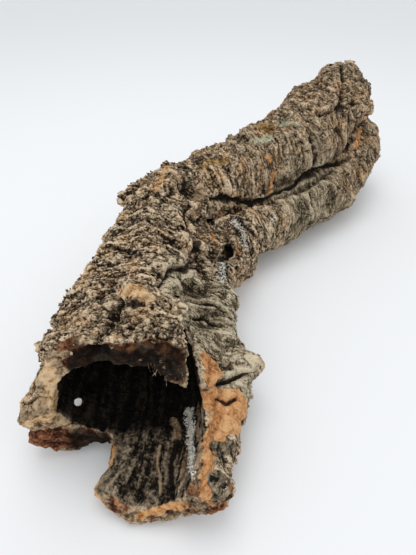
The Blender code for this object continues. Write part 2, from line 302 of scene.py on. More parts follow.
# Pulls on the whole wall: centre, move and reach
pulls = {
    "tongueLeft": ((0.014, -0.258, 0.014), (-0.0095, -0.0042, 0.0), 0.014),
    "leftCurl": ((-0.052, -0.235, 0.055), (-0.0035, -0.0062, -0.0095), 0.018),
    "curlCorner": ((-0.056, -0.246, 0.044), (-0.0030, -0.0056, -0.0050), 0.014),
    "hood": ((0.012, -0.192, 0.114), (0.001, -0.002, 0.0045), 0.017),
    "lowLump": ((-0.044, -0.248, 0.020), (-0.0105, -0.0045, 0.0), 0.016),
    "wallTip": ((0.090, -0.235, 0.035), (-0.0045, -0.0021, 0.0), 0.018),
    "wallNotch": ((0.084, -0.222, 0.042), (-0.0070, -0.0030, -0.0010), 0.007),
}

# The small hole in the near wall
pinhole = {
    "inner": (-0.0173, -0.2337, 0.0640),
    "outer": (-0.0533, -0.2071, 0.0042),
    "radius": 0.0029,
    "sides": 12,
}

# Rougher places: centre, reach and how craggy, from -1 to 1
roughPlaces = {
    "nearCrags": ((-0.024, -0.205, 0.105), 0.060, 1.0),
    "hoodFace": ((0.024, -0.204, 0.105), 0.030, 0.7),
    "elbowPlates": ((-0.062, -0.035, 0.122), 0.034, 0.8),
    "knot": ((0.006, -0.040, 0.070), 0.034, 1.0),
    "mossEdge": ((-0.004, 0.105, 0.130), 0.030, 0.5),
    "farRim": ((0.060, 0.260, 0.120), 0.060, 0.6),
    "upperCrest": ((-0.030, 0.045, 0.118), 0.034, 0.5),
    "lobe": ((0.024, -0.125, 0.066), 0.045, -0.8),
    "sideRoll": ((0.046, 0.110, 0.050), 0.080, -0.5),
}

# Calmer places, where the bark is smooth or cut: path, reach and how much relief goes
calmPlaces = {
    "lobe": (((0.012, -0.118, 0.070), (0.026, -0.132, 0.064), (0.040, -0.150, 0.056)), 0.034, 0.95),
    "wallFace": (((0.050, -0.168, 0.064), (0.070, -0.190, 0.052), (0.074, -0.205, 0.050)), 0.018, 0.80),
    "wallStrip": (((0.070, -0.217, 0.051), (0.080, -0.243, 0.043)), 0.010, 0.50),
    "wedge": (((-0.030, -0.238, 0.090), (-0.034, -0.237, 0.062)), 0.014, 0.85),
    "leftCurl": (((-0.050, -0.230, 0.064), (-0.048, -0.244, 0.056)), 0.020, 0.60),
    "sideRoll": (((0.020, 0.060, 0.060), (0.060, 0.130, 0.058)), 0.036, 0.60),
    "upperRoll": (((-0.004, 0.045, 0.098), (0.040, 0.120, 0.100), (0.062, 0.172, 0.098)), 0.026, 0.55),
    "elbowFlake": (((-0.028, -0.044, 0.106), (-0.026, -0.026, 0.114)), 0.009, 0.7),
    "hoodLip": (((-0.010, -0.182, 0.119), (-0.002, -0.179, 0.122), (0.008, -0.178, 0.121)), 0.009, 0.7),
}

# Cracks: path, width, depth, and how far the upper lip is raised
cracks = {
    "lobeFar": (((-0.002, -0.130, 0.080), (0.006, -0.134, 0.080), (0.011, -0.125, 0.072),
                 (0.020, -0.120, 0.069), (0.028, -0.115, 0.066), (0.034, -0.112, 0.058)),
                0.0013, 0.0050, 0.0012),
    "lobeNear": (((0.018, -0.150, 0.079), (0.021, -0.140, 0.070), (0.023, -0.129, 0.062),
                  (0.029, -0.130, 0.060), (0.036, -0.129, 0.059), (0.044, -0.128, 0.052)),
                 0.0013, 0.0050, 0.0014),
    "leftCurl": (((-0.058, -0.246, 0.052), (-0.048, -0.246, 0.061), (-0.039, -0.243, 0.069),
                  (-0.034, -0.241, 0.068)), 0.0012, 0.0035, 0.0012),
    "troughRidge": (((0.031, -0.218, 0.018), (0.035, -0.228, 0.018), (0.042, -0.237, 0.017),
                     (0.048, -0.246, 0.018)), 0.0010, -0.0024, 0.0),
    "troughGroove": (((0.040, -0.213, 0.018), (0.044, -0.227, 0.019), (0.050, -0.237, 0.020),
                      (0.057, -0.248, 0.026)), 0.0018, 0.0036, 0.0),
    "troughUpper": (((0.047, -0.224, 0.020), (0.044, -0.211, 0.019), (0.043, -0.202, 0.021),
                     (0.042, -0.193, 0.023)), 0.0014, 0.0028, -0.0012),
    "upperSeam": (((0.036, 0.123, 0.122), (0.042, 0.119, 0.109), (0.046, 0.123, 0.090),
                   (0.044, 0.118, 0.083)), 0.0024, 0.0050, 0.0020),
    "upperSeamNear": (((-0.030, 0.040, 0.118), (-0.021, 0.027, 0.112), (-0.015, 0.019, 0.090)),
                      0.0018, 0.0034, 0.0014),
    "upperSeamFar": (((0.058, 0.165, 0.120), (0.063, 0.172, 0.108), (0.070, 0.180, 0.090),
                      (0.075, 0.185, 0.079)), 0.0022, 0.0040, 0.0016),
    "farSeam": (((0.028, 0.300, 0.166), (0.030, 0.274, 0.164), (0.041, 0.243, 0.153),
                 (0.049, 0.207, 0.145), (0.051, 0.177, 0.139)), 0.0036, 0.0085, 0.0),
    "farRidge": (((0.016, 0.146, 0.144), (0.036, 0.152, 0.138), (0.053, 0.180, 0.138),
                  (0.063, 0.205, 0.137), (0.082, 0.227, 0.121)), 0.0022, 0.0050, 0.0034),
    "sideSeam": (((0.049, 0.100, 0.072), (0.059, 0.088, 0.058)), 0.0018, 0.0040, 0.0018),
    "hoodValley": (((-0.010, -0.182, 0.114), (-0.009, -0.196, 0.111), (-0.006, -0.208, 0.111),
                    (-0.003, -0.222, 0.108)), 0.0042, 0.0090, 0.0),
    "rollCrevice": (((-0.027, -0.008, 0.095), (-0.014, 0.023, 0.082), (-0.001, 0.038, 0.073),
                     (0.010, 0.052, 0.072), (0.019, 0.066, 0.076), (0.029, 0.086, 0.075),
                     (0.038, 0.103, 0.079), (0.043, 0.117, 0.084), (0.055, 0.148, 0.080),
                     (0.067, 0.171, 0.078), (0.076, 0.189, 0.080)), 0.0034, 0.0070, 0.0),
    "knotCrevice": (((-0.030, -0.054, 0.107), (-0.020, -0.065, 0.095), (-0.011, -0.072, 0.087),
                     (-0.008, -0.074, 0.081), (-0.009, -0.086, 0.073), (-0.006, -0.104, 0.085),
                     (-0.005, -0.126, 0.098), (-0.001, -0.144, 0.101)), 0.0038, 0.0080, 0.0),
    "knotHollow": (((0.002, -0.030, 0.077), (0.008, -0.045, 0.079), (0.008, -0.048, 0.070),
                    (0.011, -0.051, 0.064)), 0.0030, 0.0080, 0.0),
    "knotHole": (((-0.001, -0.065, 0.077), (0.003, -0.060, 0.075)), 0.0020, 0.0050, 0.0),
    "flareEdge": (((0.058, -0.180, 0.060), (0.065, -0.164, 0.051), (0.071, -0.154, 0.048)),
                  0.0020, 0.0050, 0.0024),
    "wallCrevice": (((0.061, -0.188, 0.054), (0.069, -0.186, 0.053), (0.073, -0.178, 0.050)),
                    0.0018, 0.0040, 0.0),
    "barkHole": (((-0.009, -0.136, 0.103), (-0.008, -0.135, 0.103)), 0.0020, 0.0055, 0.0),
    "farHoleA": (((0.017, 0.160, 0.145), (0.021, 0.160, 0.145)), 0.0026, 0.0060, 0.0),
    "farHoleB": (((-0.002, 0.124, 0.135), (0.003, 0.124, 0.134)), 0.0024, 0.0060, 0.0),
    "plateHoleA": (((-0.062, -0.045, 0.123), (-0.061, -0.044, 0.123)), 0.0018, 0.0050, 0.0),
    "plateHoleB": (((-0.056, -0.032, 0.125), (-0.055, -0.031, 0.125)), 0.0018, 0.0050, 0.0),
    "plateHoleC": (((-0.050, -0.044, 0.117), (-0.049, -0.043, 0.117)), 0.0020, 0.0050, 0.0),
}
crackShape = {
    "wobble": 0.5,
    "lipPlace": 2.2,  # in widths of the crack
    "lipWidth": 1.6,
}

# Plates and knobs that stand off the skin: place, half sizes, turns in degrees
plates = {
    "hoodCrest": ((0.006, -0.178, 0.116), (0.008, 0.006, 0.005), (10, 10, 20)),
    "hookA": ((-0.060, -0.037, 0.125), (0.008, 0.011, 0.0028), (25, -10, -20)),
    "hookB": ((-0.064, -0.010, 0.122), (0.006, 0.010, 0.0028), (-15, 20, 30)),
    "hookC": ((-0.050, -0.018, 0.123), (0.010, 0.007, 0.0028), (20, 15, 10)),
    "leftBulge": ((-0.1000, -0.0315, 0.093), (0.013, 0.020, 0.006), (0, 40, -20)),
    "farShoulder": ((0.066, 0.226, 0.130), (0.017, 0.030, 0.014), (0, 25, -15)),
    "crestKnob": ((-0.036, 0.066, 0.126), (0.006, 0.007, 0.005), (0, 0, 30)),
    "farBridge": ((0.072, 0.222, 0.091), (0.008, 0.026, 0.011), (0, 0, 0)),
}
plateWave = {
    "levels": 4,
    "height": 0.30,
    "scale": 1.9,
    "shift": 5.3,
}

# Standing plates of torn bark: outline, and half their thickness
shards = {
    "elbowFlake": ((
        (-0.0323, -0.0491, 0.1000), (-0.0338, -0.0398, 0.1078), (-0.0321, -0.0282, 0.1169),
        (-0.0302, -0.0216, 0.1203), (-0.0220, -0.0238, 0.1160), (-0.0170, -0.0302, 0.1079),
        (-0.0157, -0.0394, 0.1006), (-0.0210, -0.0475, 0.0963),
    ), 0.0017),
    "elbowHook": ((
        (-0.0621, -0.0605, 0.1147), (-0.0654, -0.0539, 0.1217), (-0.0760, -0.0275, 0.1244),
        (-0.0755, -0.0095, 0.1260), (-0.0640, -0.0110, 0.1263), (-0.0529, -0.0275, 0.1282),
        (-0.0490, -0.0392, 0.1224), (-0.0476, -0.0516, 0.1167), (-0.0527, -0.0609, 0.1141),
    ), 0.0020),
    "hoodLip": ((
        (-0.0104, -0.1827, 0.1193), (-0.0090, -0.1782, 0.1231), (-0.0030, -0.1752, 0.1258),
        (0.0046, -0.1746, 0.1240), (0.0106, -0.1787, 0.1216), (0.0069, -0.1836, 0.1214),
        (0.0016, -0.1870, 0.1209), (-0.0033, -0.1895, 0.1180),
    ), 0.0019),
}
shardSwell = 1.3  # how much thicker a standing plate is in its middle

fade = 1.6  # how fast a place's reach fades
tiny = 1e-6  # a length that is never divided by less
fractal = {"smoothness": 1.0, "gap": 2.1}  # how the octaves of a noise fade and narrow
cellMargin = 0.05  # each cell's point stays this far from the cell's sides

# Whole numbers that scramble a cell's place into random shares
scramble = {
    "axes": (73856093, 19349663, 83492791),
    "seedStep": 7919,
    "rounds": ((30, 0xBF58476D1CE4E5B9), (27, 0x94D049BB133111EB)),
    "keptBits": 24,
}


def pointsOf(mesh):
    flat = np.empty(len(mesh.vertices) * 3)
    mesh.vertices.foreach_get("co", flat)
    return flat.reshape(-1, 3)


def normalsOf(mesh):
    flat = np.empty(len(mesh.vertices) * 3, np.float32)
    mesh.vertex_normals.foreach_get("vector", flat)
    return flat.reshape(-1, 3).astype(float)


def movePoints(mesh, points):
    mesh.vertices.foreach_set("co", points.ravel())
    mesh.update()


def addShare(mesh, name, values):
    layer = mesh.attributes.new(name, "FLOAT", "POINT")
    layer.data.foreach_set("value", np.asarray(values, np.float32))


def addVectors(mesh, name, values):
    layer = mesh.attributes.new(name, "FLOAT_VECTOR", "POINT")
    layer.data.foreach_set("vector", values.astype(np.float32).ravel())


def shareOf(mesh, name):
    flat = np.empty(len(mesh.vertices), np.float32)
    mesh.attributes[name].data.foreach_get("value", flat)
    return flat.astype(float)


def vectorsOf(mesh, name):
    flat = np.empty(len(mesh.vertices) * 3, np.float32)
    mesh.attributes[name].data.foreach_get("vector", flat)
    return flat.reshape(-1, 3).astype(float)


def noiseAt(points, size, octaves=1, shift=0.0):
    scaled = (points / size + shift).tolist()
    if octaves == 1:
        return np.array([noise.noise(at) for at in scaled])
    smoothness, gap = fractal["smoothness"], fractal["gap"]
    return np.array([noise.fractal(at, smoothness, gap, octaves) for at in scaled])


def patternAt(points, name):
    return noiseAt(points, *patterns[name])


def smoothStep(low, high, values):
    share = np.clip((values - low) / (high - low), 0.0, 1.0)
    return share * share * (3.0 - 2.0 * share)


def atLeast(least, share):
    return least + (1.0 - least) * share


def randomShares(cells, seed):
    # four random shares for each whole-numbered cell, the same in every run
    state = (cells * np.array(scramble["axes"])).sum(1) + seed * scramble["seedStep"]
    state = state.astype(np.uint64)
    kept = scramble["keptBits"]
    shares = []
    for _ in range(4):
        for shift, factor in scramble["rounds"]:
            state = (state ^ (state >> np.uint64(shift))) * np.uint64(factor)
        shares.append((state >> np.uint64(64 - kept)).astype(float) / 2.0 ** kept)
    return np.stack(shares, 1)


def cellsAt(scaled, seed):
    # the random share of each point's cell, and how far the point is from the cell's border
    home = np.floor(scaled).astype(np.int64)
    nearest = np.full(len(scaled), np.inf)
    second = np.full(len(scaled), np.inf)
    value = np.zeros(len(scaled))
    for step in itertools.product((-1, 0, 1), repeat=3):
        cell = home + np.array(step)
        shares = randomShares(cell, seed)
        spot = cell + cellMargin + (1.0 - 2.0 * cellMargin) * shares[:, :3]
        away = np.linalg.norm(spot - scaled, axis=1)
        closer = away < nearest
        second = np.where(closer, nearest, np.minimum(second, away))
        value = np.where(closer, shares[:, 3], value)
        nearest = np.where(closer, away, nearest)
    return value, second - nearest


def linkMesh(name, mesh):
    obj = bpy.data.objects.new(name, mesh)
    scene.collection.objects.link(obj)
    return obj


def bakeModifiers(obj):
    bpy.context.view_layer.update()
    graph = bpy.context.evaluated_depsgraph_get()
    mesh = bpy.data.meshes.new_from_object(obj.evaluated_get(graph))
    old = obj.data
    obj.modifiers.clear()
    obj.data = mesh
    bpy.data.meshes.remove(old)
    return mesh


def remeshSkin(obj, voxel):
    closer = obj.modifiers.new("closeSkin", "REMESH")
    closer.mode = "VOXEL"
    closer.voxel_size = voxel
    bakeModifiers(obj)


class RollMap:
    # Finds, for points of the bark, the roll they belong to and their place along and across it
    def __init__(self):
        centres, alongs, radii, ways = [], [], [], []
        for stations in rolls.values():
            along = stations[0][1]
            for start, end in zip(stations, stations[1:]):
                a, b = Vector(start[:3]), Vector(end[:3])
                for step in range(rollSteps):
                    part = step / rollSteps
                    centres.append(a.lerp(b, part)[:])
                    alongs.append(along + (b - a).length * part)
                    radii.append(start[3] + (end[3] - start[3]) * part)
                    ways.append((b - a).normalized()[:])
                along += (b - a).length
        self.centres, self.alongs = np.array(centres), np.array(alongs)
        self.radii, self.ways = np.array(radii), np.array(ways)
        sides = np.cross(self.ways, (0.0, 0.0, 1.0))
        self.sides = sides / np.linalg.norm(sides, axis=1)[:, None]
        self.ups = np.cross(self.sides, self.ways)

    def locate(self, points, block=4000):
        nearest = np.empty(len(points), int)
        for start in range(0, len(points), block):
            some = points[start:start + block]
            away = np.linalg.norm(some[:, None] - self.centres[None], axis=2) - self.radii
            nearest[start:start + block] = away.argmin(1)
        reach = points - self.centres[nearest]
        ahead = (reach * self.ways[nearest]).sum(1)
        across = reach - self.ways[nearest] * ahead[:, None]
        place = np.stack([
            self.alongs[nearest] + ahead,
            (across * self.sides[nearest]).sum(1),
            (across * self.ups[nearest]).sum(1),
        ], 1)
        distance = np.linalg.norm(across, axis=1)
        outward = across / np.maximum(distance, tiny)[:, None]
        return place, outward, distance - self.radii[nearest], self.ways[nearest]


def tornShare(points, normals, name):
    # how far each point lies in one torn face, from 0 to 1
    place, way = (np.array(values) for values in tears[name])
    off = np.abs((points - place) @ way)
    low, high = (tornFace["reach"] * edge for edge in tornFace["reachEdge"])
    return (1.0 - smoothStep(low, high, off)) * smoothStep(*tornFace["facing"], normals @ way)


def nearness(points, centre, reach):
    away = np.linalg.norm(points - np.array(centre), axis=1) / reach
    return np.exp(-away * away * fade)


def nearPath(points, path, reach):
    if len(path) == 1:
        return nearness(points, path[0], reach)
    best = np.full(len(points), np.inf)
    for a, b in zip(path, path[1:]):
        a, b = np.array(a), np.array(b)
        run = b - a
        part = np.clip(((points - a) @ run) / (run @ run), 0.0, 1.0)
        best = np.minimum(best, np.linalg.norm(points - a - part[:, None] * run, axis=1))
    return np.exp(-fade * (best / reach) ** 2)


def surfaceKinds(points, normals):
    # outer bark, inner lining and torn faces, as shares from 0 to 1
    place, outward, depth, way = rollMap.locate(points)
    facing = (normals * outward).sum(1)
    lining = smoothStep(*skin["liningFacing"], -facing) * smoothStep(*skin["liningDepth"], -depth)
    torn = np.maximum.reduce([tornShare(points, normals, name) for name in tears])
    lining = lining * (1.0 - torn)
    outer = (1.0 - lining) * (1.0 - torn)
    return place, outer, lining, torn, way


def crackCut(points, normals, path, width, depth, lip):
    # how far each point sinks into a crack, or rises with its upper lip
    best = np.full(len(points), np.inf)
    side = np.zeros(len(points))
    for a, b in zip(path, path[1:]):
        a, b = np.array(a), np.array(b)
        run = b - a
        part = np.clip(((points - a) @ run) / (run @ run), 0.0, 1.0)
        gap = points - (a + part[:, None] * run)
        away = np.linalg.norm(gap, axis=1)
        closer = away < best
        across = np.cross(run / np.linalg.norm(run), normals[closer])
        side[closer] = (gap[closer] * across).sum(1)
        best[closer] = away[closer]
    wobble = 1.0 + crackShape["wobble"] * patternAt(points, "crackWobble")
    cut = -depth * np.exp(-(best / (width * wobble)) ** 2)
    fromLip = (best - crackShape["lipPlace"] * width) / (crackShape["lipWidth"] * width)
    return cut + lip * np.exp(-fromLip ** 2) * smoothStep(0.0, width, -side)


def roughnessAt(points):
    rough = np.full(len(points), skin["plainRoughness"])
    for centre, reach, share in roughPlaces.values():
        rough = rough + share * nearness(points, centre, reach)
    return np.clip(rough, *skin["roughRange"])


def calmAt(points):
    calm = np.zeros(len(points))
    for path, reach, share in calmPlaces.values():
        calm = np.maximum(calm, share * nearPath(points, path, reach))
    return calm


def stretched(along, place, length, width):
    # places along and across the roll, in lengths and widths
    return np.column_stack([along / length, place[:, 1:] / width])


def layerAt(layer, cells):
    # the height of one layer of plates, and the gaps between them
    value, edge = cellsAt(cells, layer["seed"])
    gap = (1.0 - smoothStep(*layer["gap"], edge)) * layer["gapShare"]
    return layer["height"] * (value - 0.5), gap


def growthSteps(bed, place):
    # each growth step stands highest at its near edge and falls away behind it
    ring, rise = np.divmod(bed / skin["stepLength"], 1.0)
    cells = np.column_stack([ring * skin["ringSpacing"], place[:, 1:] / skin["stepWidth"]])
    weights = skin["stepShare"] + skin["stepSpread"] * patternAt(cells, "steps")
    weights = np.clip(weights, 0.0, skin["stepSpread"])
    return skin["stepHeight"] * weights * ((1.0 - rise) ** skin["stepCurve"] - skin["stepSink"])


def outerRelief(points, place):
    loud = 1.0 - calmAt(points)
    rough = roughnessAt(points) * loud
    wander = np.zeros(len(points))
    for size, reach, octaves, shift in wanders:
        wander += noiseAt(points, size, octaves, shift) * reach
    bed = place[:, 0] + wander
    steps = growthSteps(bed, place)
    lines = patternAt(stretched(bed, place, skin["lineLength"], skin["lineWidth"]), "lines")
    (slabs, slabGaps), (bigSlabs, bigGaps) = (
        layerAt(layer, stretched(bed, place, layer["length"], layer["width"]))
        for layer in slabLayers.values()
    )
    (chips, chipGaps), (smallChips, smallGaps) = (
        layerAt(layer, points / layer["size"] + wander[:, None] * layer["wander"])
        for layer in chipLayers.values()
    )
    slabHeight = slabs * atLeast(skin["slabLeast"], rough) + bigSlabs
    chipHeight = chips * rough + smallChips * atLeast(skin["smallChipLeast"], rough)
    gaps = bigGaps + slabGaps + chipGaps * rough + smallGaps * rough
    ridges = np.abs(patternAt(points, "crags"))
    crags = skin["cragHeight"] * (skin["cragEdge"] - ridges) * rough
    lumps = skin["lumpHeight"] * patternAt(points, "lumps") * (skin["lumpLeast"] + rough)
    longways = stretched(place[:, 0], place, skin["seamLength"], skin["seamWidth"])
    seams = np.abs(patternAt(longways, "seams"))
    seams = -skin["seamDepth"] * (1.0 - smoothStep(0.0, skin["seamEdge"], seams)) * rough
    holes = smoothStep(*skin["pitEdge"], patternAt(points, "pits"))
    pits = -skin["pitDepth"] * holes * rough
    grain = skin["grainHeight"] * patternAt(points, "grain") * (skin["grainLeast"] + rough)
    coarse = steps + slabHeight + chipHeight - skin["gapDepth"] * gaps + crags + lumps + seams + pits
    return skin["lineHeight"] * lines + grain + coarse * atLeast(skin["calmLeast"], loud)


def liningRelief(points, place):
    longways = stretched(place[:, 0], place, skin["troughRidgeLength"], skin["troughRidgeWidth"])
    ridges = skin["troughRidgeHeight"] * patternAt(longways, "troughRidges")
    return ridges + skin["troughGrainHeight"] * patternAt(points, "troughGrain")


def ringPlaces(place):
    # out from the roll's middle, round it and along it: the growth rings follow these
    turn = np.arctan2(place[:, 2], place[:, 1]) * tornFace["ringTurn"]
    return np.column_stack([np.linalg.norm(place[:, 1:], axis=1), turn, place[:, 0]])


def tornRelief(points, place):
    lumps = tornFace["lumpHeight"] * patternAt(points, "tornLumps")
    chips = cellsAt(points / tornFace["chipSize"], tornFace["chipSeed"])[0]
    rings = ringPlaces(place)
    rings[:, 0] += tornFace["ringSway"] * patternAt(points, "ringSway")
    rings = patternAt(rings / np.array(tornFace["ringSizes"]), "tornRings")
    fine = tornFace["ringHeight"] * rings + tornFace["grainHeight"] * patternAt(points, "tornGrain")
    loud = 1.0 - calmAt(points)
    return fine + (lumps + tornFace["chipHeight"] * (chips - 0.5)) * loud


def pulled(points):
    # moves whole places of the wall
    moved = points.copy()
    for centre, move, reach in pulls.values():
        moved += np.array(move) * nearness(points, centre, reach)[:, None]
    return moved


def keptOpen(points):
    # clears the small hole in the near wall
    inner, outer = np.array(pinhole["inner"]), np.array(pinhole["outer"])
    run = (outer - inner) / np.linalg.norm(outer - inner)
    ahead = (points - inner) @ run
    within = (ahead > 0.0) & (ahead < np.linalg.norm(outer - inner))
    across = points - inner - ahead[:, None] * run
    away = np.maximum(np.linalg.norm(across, axis=1), tiny)
    push = np.where(within & (away < pinhole["radius"]), pinhole["radius"] / away - 1.0, 0.0)
    return points + across * push[:, None]


def platePieces(shape):
    # each plate is a squashed ball with a wavy edge
    for index, (place, sizes, turns) in enumerate(plates.values()):
        made = bmesh.ops.create_icosphere(shape, subdivisions=plateWave["levels"], radius=1.0)
        turn = Euler([math.radians(angle) for angle in turns]).to_matrix().to_4x4()
        shift = Vector((index * plateWave["shift"], 0, 0))
        for vertex in made["verts"]:
            vertex.co *= 1.0 + plateWave["height"] * noise.noise(vertex.co * plateWave["scale"] + shift)
        bmesh.ops.transform(
            shape,
            matrix=Matrix.Translation(place) @ turn @ Matrix.Diagonal((*sizes, 1.0)),
            verts=made["verts"],
        )


def shardPieces(shape):
    # each standing plate is its outline, thickened both ways and fuller in the middle
    for outline, half in shards.values():
        corners = [Vector(corner) for corner in outline]
        middle = sum(corners, Vector()) / len(corners)
        facing = Vector()
        for here, after in zip(corners, corners[1:] + corners[:1]):
            facing += (here - middle).cross(after - middle)
        facing.normalize()
        upper = [shape.verts.new(corner + facing * half) for corner in corners]
        lower = [shape.verts.new(corner - facing * half) for corner in corners]
        highest = shape.verts.new(middle + facing * half * shardSwell)
        lowest = shape.verts.new(middle - facing * half * shardSwell)
        for index in range(len(corners)):
            after = (index + 1) % len(corners)
            shape.faces.new((upper[index], upper[after], highest))
            shape.faces.new((lower[after], lower[index], lowest))
            shape.faces.new((upper[after], upper[index], lower[index], lower[after]))


def cutPinhole(obj):
    inner, outer = Vector(pinhole["inner"]), Vector(pinhole["outer"])
    run = outer - inner
    shape = bmesh.new()
    bmesh.ops.create_cone(
        shape,
        cap_ends=True,
        segments=pinhole["sides"],
        radius1=pinhole["radius"],
        radius2=pinhole["radius"],
        depth=run.length,
        matrix=Matrix.Translation((inner + outer) / 2) @ run.to_track_quat("Z", "Y").to_matrix().to_4x4(),
    )
    mesh = bpy.data.meshes.new("pinholeCutter")
    shape.to_mesh(mesh)
    shape.free()
    cutter = linkMesh("pinholeCutter", mesh)
    cut = obj.modifiers.new("cutHole", "BOOLEAN")
    cut.operation = "DIFFERENCE"
    cut.solver = "MANIFOLD"
    cut.object = cutter
    mesh = bakeModifiers(obj)
    bpy.data.objects.remove(cutter)
    return mesh


def makeSkin():
    voxel = skin["voxel"]
    shape = bmesh.new()
    shape.from_mesh(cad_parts[barkNode].data)
    bmesh.ops.remove_doubles(shape, verts=shape.verts, dist=skin["weld"])
    platePieces(shape)
    shardPieces(shape)
    mesh = bpy.data.meshes.new("barkSkin")
    shape.to_mesh(mesh)
    shape.free()
    obj = linkMesh("barkSkin", mesh)
    remeshSkin(obj, voxel)
    mesh = cutPinhole(obj)
    softer = obj.modifiers.new("soften", "SMOOTH")
    softer.factor = skin["softenShare"]
    softer.iterations = skin["softenRounds"]
    mesh = bakeModifiers(obj)
    print("bark skin: closed with", len(mesh.vertices), "points")
    points, normals = pointsOf(mesh), normalsOf(mesh)
    place, outer, lining, torn, way = surfaceKinds(points, normals)
    addVectors(mesh, "restPlace", points)
    addVectors(mesh, "barkPlace", place)
    addShare(mesh, "lining", lining)
    addShare(mesh, "torn", torn)
    points = pulled(points)
    height = outer * outerRelief(points, place)
    height += lining * liningRelief(points, place)
    height += torn * tornRelief(points, place)
    for path, width, depth, lip in cracks.values():
        height += crackCut(points, normals, path, width, depth, lip)
    lean = -skin["lean"] * np.maximum(height, 0.0) * outer
    moved = points + normals * height[:, None] + way * lean[:, None]
    movePoints(mesh, keepInside(keptOpen(moved)))
    print("bark skin: relief raised")
    return obj


def keepInside(points):
    # nothing stands past the solid's own box
    low, high = np.array(cadBox[0]), np.array(cadBox[1])
    return np.clip(points, low, high)


def thinSkin(obj):
    mesh = obj.data
    mesh.calc_loop_triangles()
    count = len(mesh.loop_triangles)
    if count > skin["triangles"]:
        thinner = obj.modifiers.new("thin", "DECIMATE")
        thinner.ratio = skin["triangles"] / count
        mesh = bakeModifiers(obj)
    mesh.shade_smooth()
    print("bark skin: thinned to", len(mesh.polygons), "faces")


rollMap = RollMap()
barkSkin = makeSkin()
thinSkin(barkSkin)


def crackPath(name):
    return cracks[name][0]


